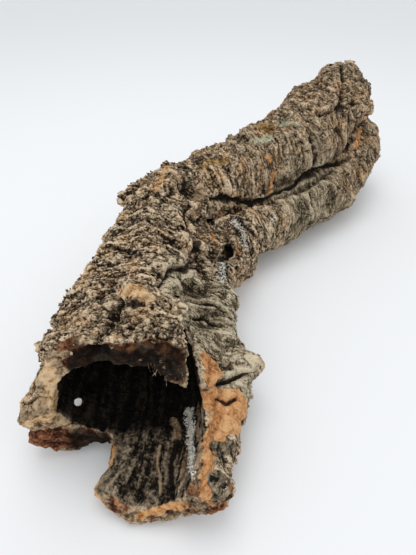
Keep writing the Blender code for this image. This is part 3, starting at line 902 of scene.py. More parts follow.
# Marks on the bark: kind, then paths as points, reach and strength
marks = {
    "ember": (
        (((-0.018, -0.231, 0.100), (-0.006, -0.223, 0.106)), 0.0060, 1.0),
        (((0.029, -0.203, 0.106), (0.036, -0.200, 0.103), (0.041, -0.198, 0.097)), 0.0055, 0.95),
        (((0.002, -0.218, 0.105), (0.011, -0.215, 0.104)), 0.0042, 0.9),
        (((0.018, -0.210, 0.103), (0.024, -0.207, 0.100)), 0.0036, 0.9),
        (((-0.052, -0.246, 0.022), (-0.044, -0.250, 0.022), (-0.036, -0.249, 0.018)), 0.0120, 1.0),
        (((-0.044, -0.249, 0.033), (-0.034, -0.246, 0.030), (-0.018, -0.241, 0.024),
          (0.000, -0.236, 0.020)), 0.0085, 1.0),
        (((-0.030, -0.224, 0.022), (-0.010, -0.226, 0.016)), 0.0110, 0.9),
    ),
    "paleCut": (
        (((-0.056, -0.250, 0.043), (-0.050, -0.249, 0.047), (-0.042, -0.248, 0.051)), 0.0065, 0.8),
        (((-0.031, -0.238, 0.096), (-0.029, -0.238, 0.080)), 0.0085, 1.0),
        (((-0.029, -0.238, 0.080), (-0.034, -0.237, 0.062), (-0.037, -0.246, 0.050)), 0.0075, 1.0),
        (calmPlaces["hoodLip"][0], 0.0085, 1.0),
        (((-0.062, -0.050, 0.121), (-0.062, -0.026, 0.127)), 0.0110, 0.7),
        (((0.016, -0.208, 0.109), (0.030, -0.204, 0.104)), 0.005, 0.5),
        (((0.002, -0.211, 0.113), (0.005, -0.208, 0.113)), 0.0030, 0.9),
        (((0.018, -0.189, 0.114), (0.021, -0.190, 0.113)), 0.0026, 0.9),
        (((0.033, -0.202, 0.101), (0.035, -0.201, 0.100)), 0.0028, 0.9),
    ),
    "orange": (
        (((0.045, -0.171, 0.069), (0.051, -0.169, 0.062), (0.054, -0.181, 0.066)), 0.0095, 1.0),
        (((0.057, -0.191, 0.055), (0.074, -0.177, 0.049), (0.079, -0.180, 0.042), (0.079, -0.197, 0.049),
          (0.066, -0.186, 0.054), (0.071, -0.206, 0.051), (0.069, -0.213, 0.050)), 0.0105, 1.0),
        (((0.069, -0.213, 0.050), (0.071, -0.221, 0.052), (0.075, -0.231, 0.053), (0.077, -0.238, 0.049),
          (0.080, -0.243, 0.043), (0.085, -0.242, 0.035)), 0.0060, 1.0),
        (((0.003, -0.235, 0.021), (0.006, -0.240, 0.021), (0.009, -0.245, 0.021)), 0.0042, 1.0),
        (((0.014, -0.254, 0.018), (0.016, -0.258, 0.016), (0.020, -0.262, 0.013)), 0.0040, 0.95),
        (((0.016, -0.264, 0.009), (0.024, -0.265, 0.009)), 0.0034, 0.7),
        (((0.041, -0.262, 0.011), (0.049, -0.256, 0.016), (0.058, -0.251, 0.020), (0.067, -0.248, 0.028)),
         0.0050, 0.85),
        (((0.018, -0.050, 0.075), (0.020, -0.046, 0.071)), 0.0046, 1.0),
        (((-0.005, -0.050, 0.082), (-0.016, -0.030, 0.077)), 0.0030, 0.9),
        (((0.004, 0.068, 0.114), (0.008, 0.070, 0.110)), 0.0050, 0.75),
        (((0.013, 0.069, 0.097), (0.014, 0.062, 0.076)), 0.0040, 0.8),
        (((0.072, 0.246, 0.096), (0.080, 0.230, 0.096), (0.078, 0.205, 0.090)), 0.0085, 1.0),
        (((0.016, 0.150, 0.143), (0.030, 0.180, 0.147)), 0.0040, 0.5),
    ),
    # painted shade: dark marks along cracks, crevices and holes and under the hood lip, where shade falls
    "creviceShade": (
        (((-0.001, -0.186, 0.118), (0.007, -0.186, 0.118)), 0.0032, 1.0),
        (((0.031, 0.272, 0.163), (0.041, 0.243, 0.153), (0.049, 0.207, 0.145), (0.051, 0.177, 0.139)),
         0.0045, 0.95),
        (((0.016, 0.148, 0.142), (0.036, 0.155, 0.136), (0.053, 0.183, 0.136), (0.063, 0.208, 0.135),
          (0.082, 0.229, 0.119)), 0.0026, 0.8),
        (((0.042, 0.119, 0.111), (0.046, 0.121, 0.090)), 0.0024, 0.85),
        (((0.063, 0.172, 0.108), (0.073, 0.183, 0.084)), 0.0024, 0.8),
        (crackPath("sideSeam"), 0.0022, 0.8),
        (crackPath("rollCrevice")[:-1], 0.0042, 0.95),
        (crackPath("knotCrevice"), 0.0040, 0.95),
        (crackPath("knotHollow"), 0.0042, 1.0),
        (((0.000, 0.005, 0.069), (0.006, -0.004, 0.067), (0.008, -0.018, 0.072), (0.013, -0.020, 0.066)),
         0.0085, 0.9),
        (((0.010, -0.062, 0.069), (0.014, -0.066, 0.063), (0.016, -0.070, 0.058)), 0.0080, 0.9),
        (((-0.010, -0.066, 0.088), (-0.011, -0.075, 0.083), (-0.007, -0.092, 0.082),
          (-0.005, -0.106, 0.084)), 0.0050, 0.9),
        (((-0.048, -0.024, 0.119), (-0.043, -0.029, 0.110), (-0.038, -0.034, 0.104)), 0.0060, 0.9),
        (((0.035, 0.112, 0.076), (0.046, 0.124, 0.079)), 0.0060, 0.9),
        (((-0.006, -0.138, 0.100), (-0.014, -0.137, 0.104)), 0.0040, 0.7),
        (((0.060, 0.182, 0.128), (0.070, 0.196, 0.120)), 0.0040, 0.7),
        (crackPath("knotHole"), 0.0028, 1.0),
        (((-0.010, -0.184, 0.113), (-0.009, -0.196, 0.110), (-0.006, -0.208, 0.110),
          (-0.003, -0.222, 0.106)), 0.0046, 1.0),
        (((0.020, -0.206, 0.108), (0.028, -0.203, 0.100)), 0.0040, 0.75),
        (((0.034, -0.201, 0.101), (0.040, -0.199, 0.094)), 0.0038, 0.75),
        (crackPath("wallCrevice"), 0.0020, 0.9),
        (crackPath("flareEdge"), 0.0022, 0.9),
        (crackPath("troughGroove")[:-1], 0.0024, 0.8),
        (((-0.002, -0.130, 0.080), (0.006, -0.134, 0.080), (0.011, -0.125, 0.072), (0.028, -0.115, 0.066)),
         0.0018, 0.9),
        (((0.018, -0.150, 0.079), (0.021, -0.140, 0.070), (0.023, -0.129, 0.062), (0.036, -0.129, 0.059)),
         0.0018, 0.9),
        (((-0.058, -0.246, 0.048), (-0.048, -0.246, 0.057), (-0.039, -0.243, 0.065)), 0.0014, 0.8),
        (((-0.009, -0.136, 0.103),), 0.0028, 1.0),
        (((0.019, 0.160, 0.145),), 0.0036, 1.0),
        (((0.000, 0.124, 0.135),), 0.0032, 1.0),
        (((-0.062, -0.045, 0.123),), 0.0024, 1.0),
        (((-0.056, -0.032, 0.125),), 0.0024, 1.0),
        (((-0.050, -0.044, 0.117),), 0.0026, 1.0),
    ),
    "murk": (
        (((0.073, -0.217, 0.050), (0.079, -0.214, 0.046), (0.081, -0.209, 0.042)), 0.0065, 1.0),
        (((0.083, -0.235, 0.050), (0.088, -0.234, 0.046), (0.089, -0.239, 0.038)), 0.0085, 1.0),
        (((0.030, -0.203, 0.090), (0.040, -0.201, 0.085)), 0.0050, 0.7),
    ),
    "tan": (
        (((0.044, -0.183, 0.029), (0.050, -0.196, 0.033), (0.056, -0.208, 0.036), (0.064, -0.223, 0.049),
          (0.069, -0.233, 0.052)), 0.0055, 0.75),
        (((-0.056, -0.246, 0.049), (-0.045, -0.248, 0.056), (-0.036, -0.246, 0.061)), 0.0065, 0.9),
        (((-0.027, -0.046, 0.102), (-0.026, -0.026, 0.116)), 0.0090, 0.9),
        (((0.060, -0.240, 0.030), (0.054, -0.226, 0.024), (0.050, -0.210, 0.024)), 0.0062, 0.72),
        (crackPath("troughRidge"), 0.0020, 1.0),
        (((0.029, -0.196, 0.019), (0.036, -0.200, 0.019), (0.038, -0.206, 0.019)), 0.0048, 0.9),
        (((-0.033, -0.066, 0.104), (-0.025, -0.063, 0.101), (-0.017, -0.065, 0.090)), 0.0030, 0.7),
    ),
    "crust": (
        (((0.039, -0.187, 0.022), (0.047, -0.201, 0.025), (0.052, -0.211, 0.026), (0.059, -0.223, 0.031),
          (0.066, -0.236, 0.046)), 0.0080, 1.25),
        (((-0.003, 0.002, 0.069), (0.006, -0.004, 0.065), (0.013, -0.018, 0.066)), 0.0115, 0.97),
        (((0.013, -0.018, 0.066), (0.016, -0.015, 0.055)), 0.0085, 0.97),
        (((0.027, 0.044, 0.062), (0.026, 0.034, 0.057)), 0.0060, 0.9),
        (((0.016, -0.074, 0.057), (0.013, -0.066, 0.065)), 0.0105, 0.97),
        (((0.028, -0.100, 0.058), (0.020, -0.084, 0.056)), 0.0060, 0.65),
        (((0.090, -0.238, 0.042), (0.088, -0.226, 0.046)), 0.0070, 0.65),
    ),
    "moss": (
        (((0.002, 0.122, 0.132), (0.012, 0.119, 0.132), (0.018, 0.116, 0.132)), 0.0110, 1.0),
        (((-0.012, 0.074, 0.127), (0.000, 0.085, 0.128)), 0.0105, 0.8),
    ),
    "gold": (
        (((-0.016, 0.098, 0.132), (-0.006, 0.104, 0.131)), 0.0130, 1.0),
        (((-0.046, 0.014, 0.118), (-0.029, 0.032, 0.119)), 0.0110, 0.8),
    ),
    "olive": (
        (((0.024, -0.125, 0.066),), 0.050, 0.9),
        (((0.058, -0.165, 0.050),), 0.030, 0.8),
        (((0.046, 0.110, 0.050),), 0.080, 0.5),
    ),
    # lighter bark on the crags, cut edges and tops, partly real pale bark and partly painted highlight on
    # the tops where light falls
    "paleAndHighlight": (
        (((-0.040, -0.215, 0.094), (-0.010, -0.216, 0.108)), 0.022, 1.0),
        (((0.000, 0.110, 0.132), (0.026, 0.160, 0.146)), 0.020, 0.8),
        (((-0.031, -0.238, 0.096), (-0.030, -0.238, 0.070)), 0.016, 1.5),
        (((-0.012, -0.182, 0.118), (0.010, -0.178, 0.121)), 0.010, 1.5),
        (((-0.060, -0.230, 0.060), (-0.050, -0.246, 0.052)), 0.016, 0.9),
        (((-0.040, -0.210, 0.100), (-0.014, -0.214, 0.112)), 0.030, 0.9),
        (((-0.012, -0.180, 0.117), (0.020, -0.186, 0.114)), 0.016, 0.8),
        (((-0.044, -0.180, 0.098),), 0.036, 0.6),
        (((-0.078, -0.030, 0.112), (-0.040, -0.020, 0.122)), 0.024, 0.7),
        (((0.054, -0.158, 0.058), (0.066, -0.164, 0.052), (0.078, -0.150, 0.045)), 0.018, 1.7),
        (((0.000, -0.050, 0.080),), 0.024, 0.5),
        (((-0.040, 0.040, 0.120), (0.020, 0.130, 0.138), (0.026, 0.180, 0.148)), 0.026, 0.7),
        (((0.060, 0.220, 0.130),), 0.040, 0.5),
        (((0.026, 0.290, 0.160),), 0.030, 0.6),
    ),
}

# Hollows in the skin, for painted shade that darkens them and painted light on the bumps: rounds of
# smoothing, and the depth that counts as full
dips = {
    "hollowShade": (3, 0.00055),
    "broadHollowShade": (24, 0.0022),
}

# Calm parts, painted shade deep in the bore, and charred parts of the skin: bands in metres, and shares
bands = {
    "calmShare": 0.4,
    "farCalmShare": 0.70,
    "farCalmAlong": (-0.02, 0.12),
    "boreShadeBehindRim": (-0.012, 0.012),
    "charredTopHeight": (0.070, 0.085),
    "charredTopSide": (-0.024, -0.014),
    "charredFootHeight": (0.026, 0.042),
    "charredFootLeft": (-0.036, -0.026),
    "charredFootRight": (-0.006, 0.002),
    "charredFootShare": 0.6,
    "charredDepth": (0.001, 0.006),
    "charredOuterShare": 0.55,
    "charredInnerShare": 0.45,
}


def smoothed(points, edges, rounds):
    # each round moves a point halfway to the middle of its neighbours
    first, second = edges[:, 0], edges[:, 1]
    count = np.bincount(edges.ravel(), minlength=len(points))[:, None]
    for _ in range(rounds):
        total = np.column_stack([
            np.bincount(first, points[second, axis], len(points))
            + np.bincount(second, points[first, axis], len(points))
            for axis in range(3)
        ])
        points = 0.5 * points + 0.5 * total / count
    return points


def addMarks(mesh):
    rest, place = vectorsOf(mesh, "restPlace"), vectorsOf(mesh, "barkPlace")
    addVectors(mesh, "ringPlace", ringPlaces(place))
    for kind, spots in marks.items():
        share = np.zeros(len(rest))
        for path, reach, strength in spots:
            share = np.maximum(share, strength * nearPath(rest, path, reach))
        addShare(mesh, kind, share)


def markSkin(mesh):
    points, normals = pointsOf(mesh), normalsOf(mesh)
    rest, lining, torn = vectorsOf(mesh, "restPlace"), shareOf(mesh, "lining"), shareOf(mesh, "torn")
    edges = np.empty(len(mesh.edges) * 2, np.int32)
    mesh.edges.foreach_get("vertices", edges)
    edges = edges.reshape(-1, 2)
    soft = points
    # how far each point lies in a hollow, later painted darker as shade and lighter on bumps
    for name, (rounds, scale) in dips.items():
        soft = smoothed(soft, edges, rounds)
        addShare(mesh, name, np.clip(((soft - points) * normals).sum(1) / scale, -1, 1))
    depth = rollMap.locate(rest)[2]
    rimPlace, rimWay = (np.array(values) for values in tears["rim"])
    behind = -(rest - rimPlace) @ rimWay
    side, along, up = rest.T
    farCalm = bands["farCalmShare"] * smoothStep(*bands["farCalmAlong"], along)
    addShare(mesh, "calm", np.maximum(bands["calmShare"] * calmAt(rest), farCalm))
    # painted shade: the lining turns dark deeper in the bore behind the rim, where shade falls
    addShare(mesh, "boreShade", lining * smoothStep(*bands["boreShadeBehindRim"], behind))
    top = smoothStep(*bands["charredTopHeight"], up) * smoothStep(*bands["charredTopSide"], side)
    foot = 1.0 - smoothStep(*bands["charredFootHeight"], up)
    foot *= smoothStep(*bands["charredFootLeft"], side)
    foot *= 1.0 - smoothStep(*bands["charredFootRight"], side)
    inward = bands["charredInnerShare"] * smoothStep(*bands["charredDepth"], -depth)
    inward = bands["charredOuterShare"] + inward
    addShare(mesh, "charred", torn * np.maximum(top * inward, bands["charredFootShare"] * foot))
    addMarks(mesh)
    print("bark skin: marked")


markSkin(barkSkin.data)

# Finish of the bark: linear colours
finish = {
    "barkRamp": (
        (0.20, (0.011, 0.007, 0.004)),
        (0.36, (0.055, 0.036, 0.022)),
        (0.50, (0.205, 0.145, 0.090)),
        (0.64, (0.440, 0.325, 0.210)),
        (0.86, (0.800, 0.640, 0.450)),
    ),
    "warmTint": (1.0, 0.80, 0.60, 1.0),
    "oliveRamp": (
        (0.20, (0.012, 0.009, 0.005)),
        (0.36, (0.066, 0.050, 0.030)),
        (0.50, (0.212, 0.166, 0.102)),
        (0.64, (0.405, 0.335, 0.222)),
        (0.86, (0.690, 0.595, 0.430)),
    ),
    "liningRamp": (
        (0.27, (0.006, 0.0045, 0.0035)),
        (0.42, (0.034, 0.026, 0.018)),
        (0.54, (0.125, 0.094, 0.062)),
        (0.70, (0.235, 0.182, 0.120)),
        (0.90, (0.420, 0.340, 0.240)),
    ),
    "orangeRamp": (
        (0.20, (0.160, 0.060, 0.022)),
        (0.40, (0.420, 0.180, 0.065)),
        (0.55, (0.600, 0.290, 0.115)),
        (0.80, (0.760, 0.450, 0.220)),
    ),
    "paleCutRamp": (
        (0.20, (0.150, 0.068, 0.028)),
        (0.40, (0.420, 0.232, 0.105)),
        (0.56, (0.640, 0.400, 0.200)),
        (0.78, (0.800, 0.590, 0.360)),
    ),
    "emberRamp": (
        (0.28, (0.010, 0.005, 0.003)),
        (0.44, (0.060, 0.020, 0.010)),
        (0.58, (0.180, 0.062, 0.028)),
        (0.80, (0.420, 0.190, 0.085)),
    ),
    "crustRamp": (
        (0.30, (0.310, 0.285, 0.240)),
        (0.58, (0.760, 0.710, 0.620)),
        (0.80, (0.960, 0.925, 0.850)),
    ),
    "mossRamp": (
        (0.30, (0.200, 0.180, 0.105)),
        (0.50, (0.480, 0.470, 0.320)),
        (0.70, (0.740, 0.730, 0.560)),
    ),
    "goldRamp": (
        (0.30, (0.090, 0.045, 0.014)),
        (0.52, (0.330, 0.195, 0.070)),
        (0.74, (0.640, 0.470, 0.240)),
    ),
    "tanRamp": (
        (0.25, (0.055, 0.032, 0.018)),
        (0.50, (0.215, 0.140, 0.080)),
        (0.75, (0.480, 0.340, 0.210)),
    ),
    # near black, used for the charred rim and for painted shade deep in the bore
    "charAndBoreShadeColour": (0.004, 0.003, 0.0025, 1.0),
    "shadeColour": (0.016, 0.012, 0.009, 1.0),
    "roughness": 0.88,
    "specular": 0.10,
    "bumpDistance": 0.0022,
    "bumpStrength": 0.9,
    "tornTanShare": 0.6,
    "raggedMarks": 0.9,
    # ragged edge of the painted crevice shade
    "raggedShade": 0.7,
    "raggedCharred": 0.8,
}

# Grain of the bark: scales, detail, roughness and distortion
grains = {
    "lines": ((520.0, 42.0, 42.0), 3.0, 0.6, 0.4),
    "rings": ((430.0, 60.0, 60.0), 3.0, 0.6, 0.4),
    "broadLines": ((170.0, 22.0, 22.0), 3.0, 0.6, 0.6),
    "longways": ((30.0, 260.0, 260.0), 3.0, 0.6, 0.0),
    "speck": ((620.0, 620.0, 620.0), 3.0, 0.7, 0.0),
    "clot": ((210.0, 210.0, 210.0), 4.0, 0.65, 0.0),
    "blotch": ((60.0, 60.0, 60.0), 3.0, 0.6, 0.0),
    "patch": ((16.0, 16.0, 16.0), 2.0, 0.5, 0.0),
}
splitScale = (95.0, 75.0, 75.0)

# How the patterns add up: the weight of each, and a level that shifts them all
# the hollow weights paint shade into hollows and light onto bumps
mixes = {
    "bark": {
        "lines": 1.05, "broadLines": 0.50, "speck": 1.55, "clot": 0.95, "blotch": 0.42,
        "hollowShade": -0.14, "broadHollowShade": -0.17, "split": -0.08, "paleAndHighlight": 0.085, "level": -1.735,
    },
    "lining": {
        "longways": 0.95, "speck": 1.10, "clot": 0.95, "hollowShade": -0.16, "broadHollowShade": -0.10, "level": -1.010,
    },
    "streak": {
        "longways": 0.70, "speck": 0.80, "clot": 0.60,
        "hollowShade": -0.12, "broadHollowShade": -0.08, "paleAndHighlight": 0.06, "level": -0.55,
    },
    "olive": {"olive": 0.8, "patch": 0.9},
    "ragged": {"clot": 0.5, "speck": 0.25, "blotch": 0.25, "level": -0.5},
    "crust": {"speck": 1.6, "clot": 0.8, "crust": 0.80, "level": -0.30},
    "relief": {"lines": 0.8, "broadLines": 0.5, "speck": 0.45, "clot": 0.9, "split": -0.35},
}

# Where one finish begins to cover another and where it covers fully, then its least and most share
covers = {
    "lining": (0.3, 0.7),
    "torn": (0.3, 0.7),
    "split": (0.0, 0.10, 1.0, 0.0),
    "contrast": (0.0, 0.5, 1.0, 0.62),
    "warm": (0.46, 0.66, 0.0, 0.75),
    "olive": (0.40, 0.85),
    "boreShade": (0.2, 0.9, 0.0, 0.93),
    "tornTan": (0.38, 0.50),
    "tan": (0.40, 0.66),
    "ember": (0.42, 0.58),
    "paleCut": (0.46, 0.60),
    "orange": (0.44, 0.54),
    "murk": (0.44, 0.58),
    "gold": (0.40, 0.75),
    "moss": (0.45, 0.75),
    "crustGrain": (1.50, 1.64),
    "crust": (0.15, 0.35),
    "creviceShade": (0.34, 0.66, 0.0, 0.93),
    "charred": (0.30, 0.62, 0.0, 0.94),
}


class NodeBoard:
    # Short calls for making and joining the nodes of one material
    def __init__(self, name):
        self.material = bpy.data.materials.new(name)
        self.material.use_nodes = True
        self.tree = self.material.node_tree
        self.shader = self.tree.nodes["Principled BSDF"]
        self.column = 0

    def node(self, kind, **values):
        made = self.tree.nodes.new(kind)
        self.column += 1
        made.location = (-200 * (self.column % 12) - 300, -180 * (self.column // 12))
        for name, value in values.items():
            setattr(made, name, value)
        return made

    def join(self, source, target):
        self.tree.links.new(source, target)

    def feed(self, socket, value):
        if isinstance(value, bpy.types.NodeSocket):
            self.join(value, socket)
        else:
            socket.default_value = value

    def attribute(self, name, output="Fac"):
        return self.node("ShaderNodeAttribute", attribute_name=name).outputs[output]

    def scaled(self, vector, scale):
        mapping = self.node("ShaderNodeMapping")
        self.join(vector, mapping.inputs["Vector"])
        mapping.inputs["Scale"].default_value = scale
        return mapping.outputs["Vector"]

    def grain(self, vector, scale, detail, roughness, distortion):
        made = self.node("ShaderNodeTexNoise")
        self.join(self.scaled(vector, scale), made.inputs["Vector"])
        made.inputs["Scale"].default_value = 1.0
        made.inputs["Detail"].default_value = detail
        made.inputs["Roughness"].default_value = roughness
        made.inputs["Distortion"].default_value = distortion
        return made.outputs["Fac"]

    def splits(self, vector, scale):
        made = self.node("ShaderNodeTexVoronoi", feature="DISTANCE_TO_EDGE")
        self.join(self.scaled(vector, scale), made.inputs["Vector"])
        made.inputs["Scale"].default_value = 1.0
        return made.outputs["Distance"]

    def sum(self, *terms):
        # adds up pairs of a value and its weight
        total = None
        for value, weight in terms:
            made = self.node("ShaderNodeMath", operation="MULTIPLY_ADD")
            self.feed(made.inputs[0], value)
            made.inputs[1].default_value = weight
            self.feed(made.inputs[2], 0.0 if total is None else total)
            total = made.outputs[0]
        return total

    def times(self, first, second):
        made = self.node("ShaderNodeMath", operation="MULTIPLY")
        self.feed(made.inputs[0], first)
        self.feed(made.inputs[1], second)
        return made.outputs[0]

    def blend(self, share, below, above):
        made = self.node("ShaderNodeMix", data_type="FLOAT")
        self.feed(made.inputs[0], share)
        self.feed(made.inputs[2], below)
        self.feed(made.inputs[3], above)
        return made.outputs[0]

    def band(self, value, low, high, start=0.0, end=1.0):
        made = self.node("ShaderNodeMapRange", interpolation_type="SMOOTHSTEP")
        self.feed(made.inputs["Value"], value)
        made.inputs["From Min"].default_value = low
        made.inputs["From Max"].default_value = high
        made.inputs["To Min"].default_value = start
        made.inputs["To Max"].default_value = end
        return made.outputs["Result"]

    def ramp(self, value, stops):
        made = self.node("ShaderNodeValToRGB")
        self.join(value, made.inputs["Fac"])
        ramp = made.color_ramp
        while len(ramp.elements) < len(stops):
            ramp.elements.new(0.5)
        for element, (at, colour) in zip(ramp.elements, stops):
            element.position = at
            element.color = (*colour, 1.0)
        return made.outputs["Color"]

    def mix(self, share, below, above, blend="MIX"):
        made = self.node("ShaderNodeMix", data_type="RGBA", blend_type=blend)
        self.feed(made.inputs["Factor"], share)
        self.feed(made.inputs[6], below)
        self.feed(made.inputs[7], above)
        return made.outputs[2]


def barkFinish():
    board = NodeBoard("corkBark")
    room = board.node("ShaderNodeTexCoord").outputs["Object"]
    place = board.attribute("barkPlace", "Vector")
    parts = {name: board.attribute(name) for name in ("hollowShade", "broadHollowShade", "paleAndHighlight", "olive", "crust")}
    parts["level"] = 1.0
    for name in ("lines", "broadLines", "longways"):
        parts[name] = board.grain(place, *grains[name])
    for name in ("speck", "clot", "blotch", "patch"):
        parts[name] = board.grain(room, *grains[name])
    parts["split"] = board.band(board.splits(place, splitScale), *covers["split"])
    lining = board.band(board.attribute("lining"), *covers["lining"])
    torn = board.band(board.attribute("torn"), *covers["torn"])
    rings = board.grain(board.attribute("ringPlace", "Vector"), *grains["rings"])
    parts["lines"] = board.blend(torn, parts["lines"], rings)

    def mixed(name):
        # one of the mixes, added up
        return board.sum(*((parts[part], weight) for part, weight in mixes[name].items()))

    # outer bark
    fromMiddle = board.sum((mixed("bark"), 1.0), (1.0, -0.5))
    contrast = board.band(board.attribute("calm"), *covers["contrast"])
    height = board.sum((board.times(fromMiddle, contrast), 1.0), (1.0, 0.5))
    warm = board.band(parts["blotch"], *covers["warm"])
    bark = board.mix(warm, board.ramp(height, finish["barkRamp"]), finish["warmTint"], "MULTIPLY")
    olive = board.band(mixed("olive"), *covers["olive"])
    bark = board.mix(olive, bark, board.ramp(height, finish["oliveRamp"]))

    # inner lining, with painted shade darkening it deeper into the bore behind the rim
    murk = board.ramp(mixed("lining"), finish["liningRamp"])
    boreShade = board.band(board.attribute("boreShade"), *covers["boreShade"])
    colour = board.mix(lining, bark, board.mix(boreShade, murk, finish["charAndBoreShadeColour"]))

    # torn faces
    streak = mixed("streak")
    tan = board.ramp(streak, finish["tanRamp"])
    ember = board.ramp(streak, finish["emberRamp"])
    tornTan = board.band(parts["blotch"], *covers["tornTan"])
    tornColour = board.mix(tornTan, ember, board.mix(finish["tornTanShare"], bark, tan))
    colour = board.mix(torn, colour, tornColour)

    # marks, each laid over those before it
    ragged = mixed("ragged")

    def spread(kind, raggedness):
        # where one kind of mark lies, with a ragged edge
        share = board.sum((board.attribute(kind), 1.0), (ragged, raggedness))
        return board.band(share, *covers[kind])

    coats = {
        "tan": tan,
        "ember": ember,
        "paleCut": board.ramp(streak, finish["paleCutRamp"]),
        "orange": board.ramp(streak, finish["orangeRamp"]),
        "murk": murk,
        "gold": board.ramp(streak, finish["goldRamp"]),
        "moss": board.ramp(parts["clot"], finish["mossRamp"]),
    }
    for kind, coat in coats.items():
        colour = board.mix(spread(kind, finish["raggedMarks"]), colour, coat)
    crustGrain = board.band(mixed("crust"), *covers["crustGrain"])
    crust = board.times(crustGrain, board.band(parts["crust"], *covers["crust"]))
    colour = board.mix(crust, colour, board.ramp(parts["speck"], finish["crustRamp"]))

    # painted shade darkens the cracks, crevices, holes and the hollow under the hood lip, except where
    # they hold white crust, and the rim is charred
    withoutCrust = board.sum((1.0, 1.0), (crust, -1.0))
    creviceShade = board.times(spread("creviceShade", finish["raggedShade"]), withoutCrust)
    colour = board.mix(creviceShade, colour, finish["shadeColour"])
    colour = board.mix(spread("charred", finish["raggedCharred"]), colour, finish["charAndBoreShadeColour"])
    board.join(colour, board.shader.inputs["Base Color"])
    board.shader.inputs["Roughness"].default_value = finish["roughness"]
    board.shader.inputs["Specular IOR Level"].default_value = finish["specular"]

    bump = board.node("ShaderNodeBump")
    bump.inputs["Strength"].default_value = finish["bumpStrength"]
    bump.inputs["Distance"].default_value = finish["bumpDistance"]
    board.join(mixed("relief"), bump.inputs["Height"])
    board.join(bump.outputs["Normal"], board.shader.inputs["Normal"])
    return board.material


barkMaterial = barkFinish()

# Loose flakes, crumbs and fibres of bark on the skin: sizes in metres, turns in degrees
flakes = {
    "seed": 41,
    "count": 1700,
    "across": (0.0030, 0.0095),
    "along": (0.0020, 0.0042),
    "thick": (0.0006, 0.0013),
    "lift": (4.0, 24.0),
    "turn": 28.0,
    "corners": (6, 10),
    "cornerShift": 0.35,
    "cornerReach": (0.72, 1.0),
    "levels": ((0.5, 0.86), (-0.1, 1.0), (-0.5, 0.9)),  # height in thicknesses, and spread
    "levelShift": 0.25,
    "sink": 0.30,
}
crumbs = {
    "seed": 97,
    "count": 3200,
    "size": (0.0006, 0.0016),
    "squash": (0.35, 1.0),
    "tornWeight": 0.12,
    "forms": 24,
    "corners": 9,
    "sink": 0.25,
}
fibres = {
    "seed": 5,
    "count": 26,
    "path": ((0.022, -0.206, 0.094), (0.034, -0.202, 0.089), (0.041, -0.199, 0.086)),
    "length": (0.004, 0.010),
    "scatter": 0.0015,
    "lean": ((-0.4, 0.4), (-0.5, 0.1)),  # sideways and along, for each metre down
    "thick": 0.00035,
    "taper": 0.7,
    "sides": 5,
    "steps": 4,
    "sway": 0.004,
    "bend": 0.5,
}
# Where the loose bark lies: path, reach and how thickly
looseWeights = {
    "crags": (((-0.050, -0.200, 0.090), (-0.010, -0.215, 0.110)), 0.034, 1.2),
    "hood": (((-0.008, -0.182, 0.116), (0.034, -0.200, 0.100)), 0.018, 1.6),
    "mainBack": (((-0.040, -0.160, 0.100), (-0.062, -0.060, 0.112)), 0.034, 0.55),
    "elbow": (((-0.085, -0.025, 0.112), (-0.040, -0.015, 0.118)), 0.026, 1.3),
    "knot": (((0.000, -0.050, 0.078), (0.006, -0.020, 0.074)), 0.022, 1.5),
    "crest": (((-0.040, 0.035, 0.120), (0.000, 0.095, 0.130), (0.026, 0.170, 0.146)), 0.024, 0.9),
    "farLobes": (((0.040, 0.200, 0.140), (0.050, 0.290, 0.150)), 0.040, 0.7),
    "everywhere": (((0.0, 0.0, 0.08),), 0.60, 0.08),
}
looseFacing = (-0.25, 0.2)  # loose bark lies only where the skin faces up this far


def looseShape():
    shape = bmesh.new()
    shape.verts.layers.float_vector.new("restPlace")
    return shape


def looseSpots(rng, mesh, count, tornWeight=0.0):
    # random points on the outer bark, most of them at the places of looseWeights
    points, normals, rest = pointsOf(mesh), normalsOf(mesh), vectorsOf(mesh, "restPlace")
    lining, torn = shareOf(mesh, "lining"), shareOf(mesh, "torn")
    outer = (1.0 - lining) * (1.0 - torn)
    weight = np.zeros(len(points))
    for path, reach, strength in looseWeights.values():
        weight = np.maximum(weight, strength * nearPath(rest, path, reach))
    weight *= (outer + tornWeight * torn) * smoothStep(*looseFacing, normals[:, 2]) * (1.0 - calmAt(rest))
    total = np.cumsum(weight)
    spots = [int(np.searchsorted(total, rng.random() * total[-1])) for _ in range(count)]
    ways = rollMap.locate(rest[spots])[3]
    return points[spots], normals[spots], ways, rest[spots]


def closeRows(shape, rows):
    # joins rings of corners into one closed lump
    shape.faces.new(rows[0])
    shape.faces.new(rows[-1][::-1])
    for above, below in zip(rows, rows[1:]):
        for corner in range(len(above)):
            after = (corner + 1) % len(above)
            shape.faces.new((above[corner], below[corner], below[after], above[after]))


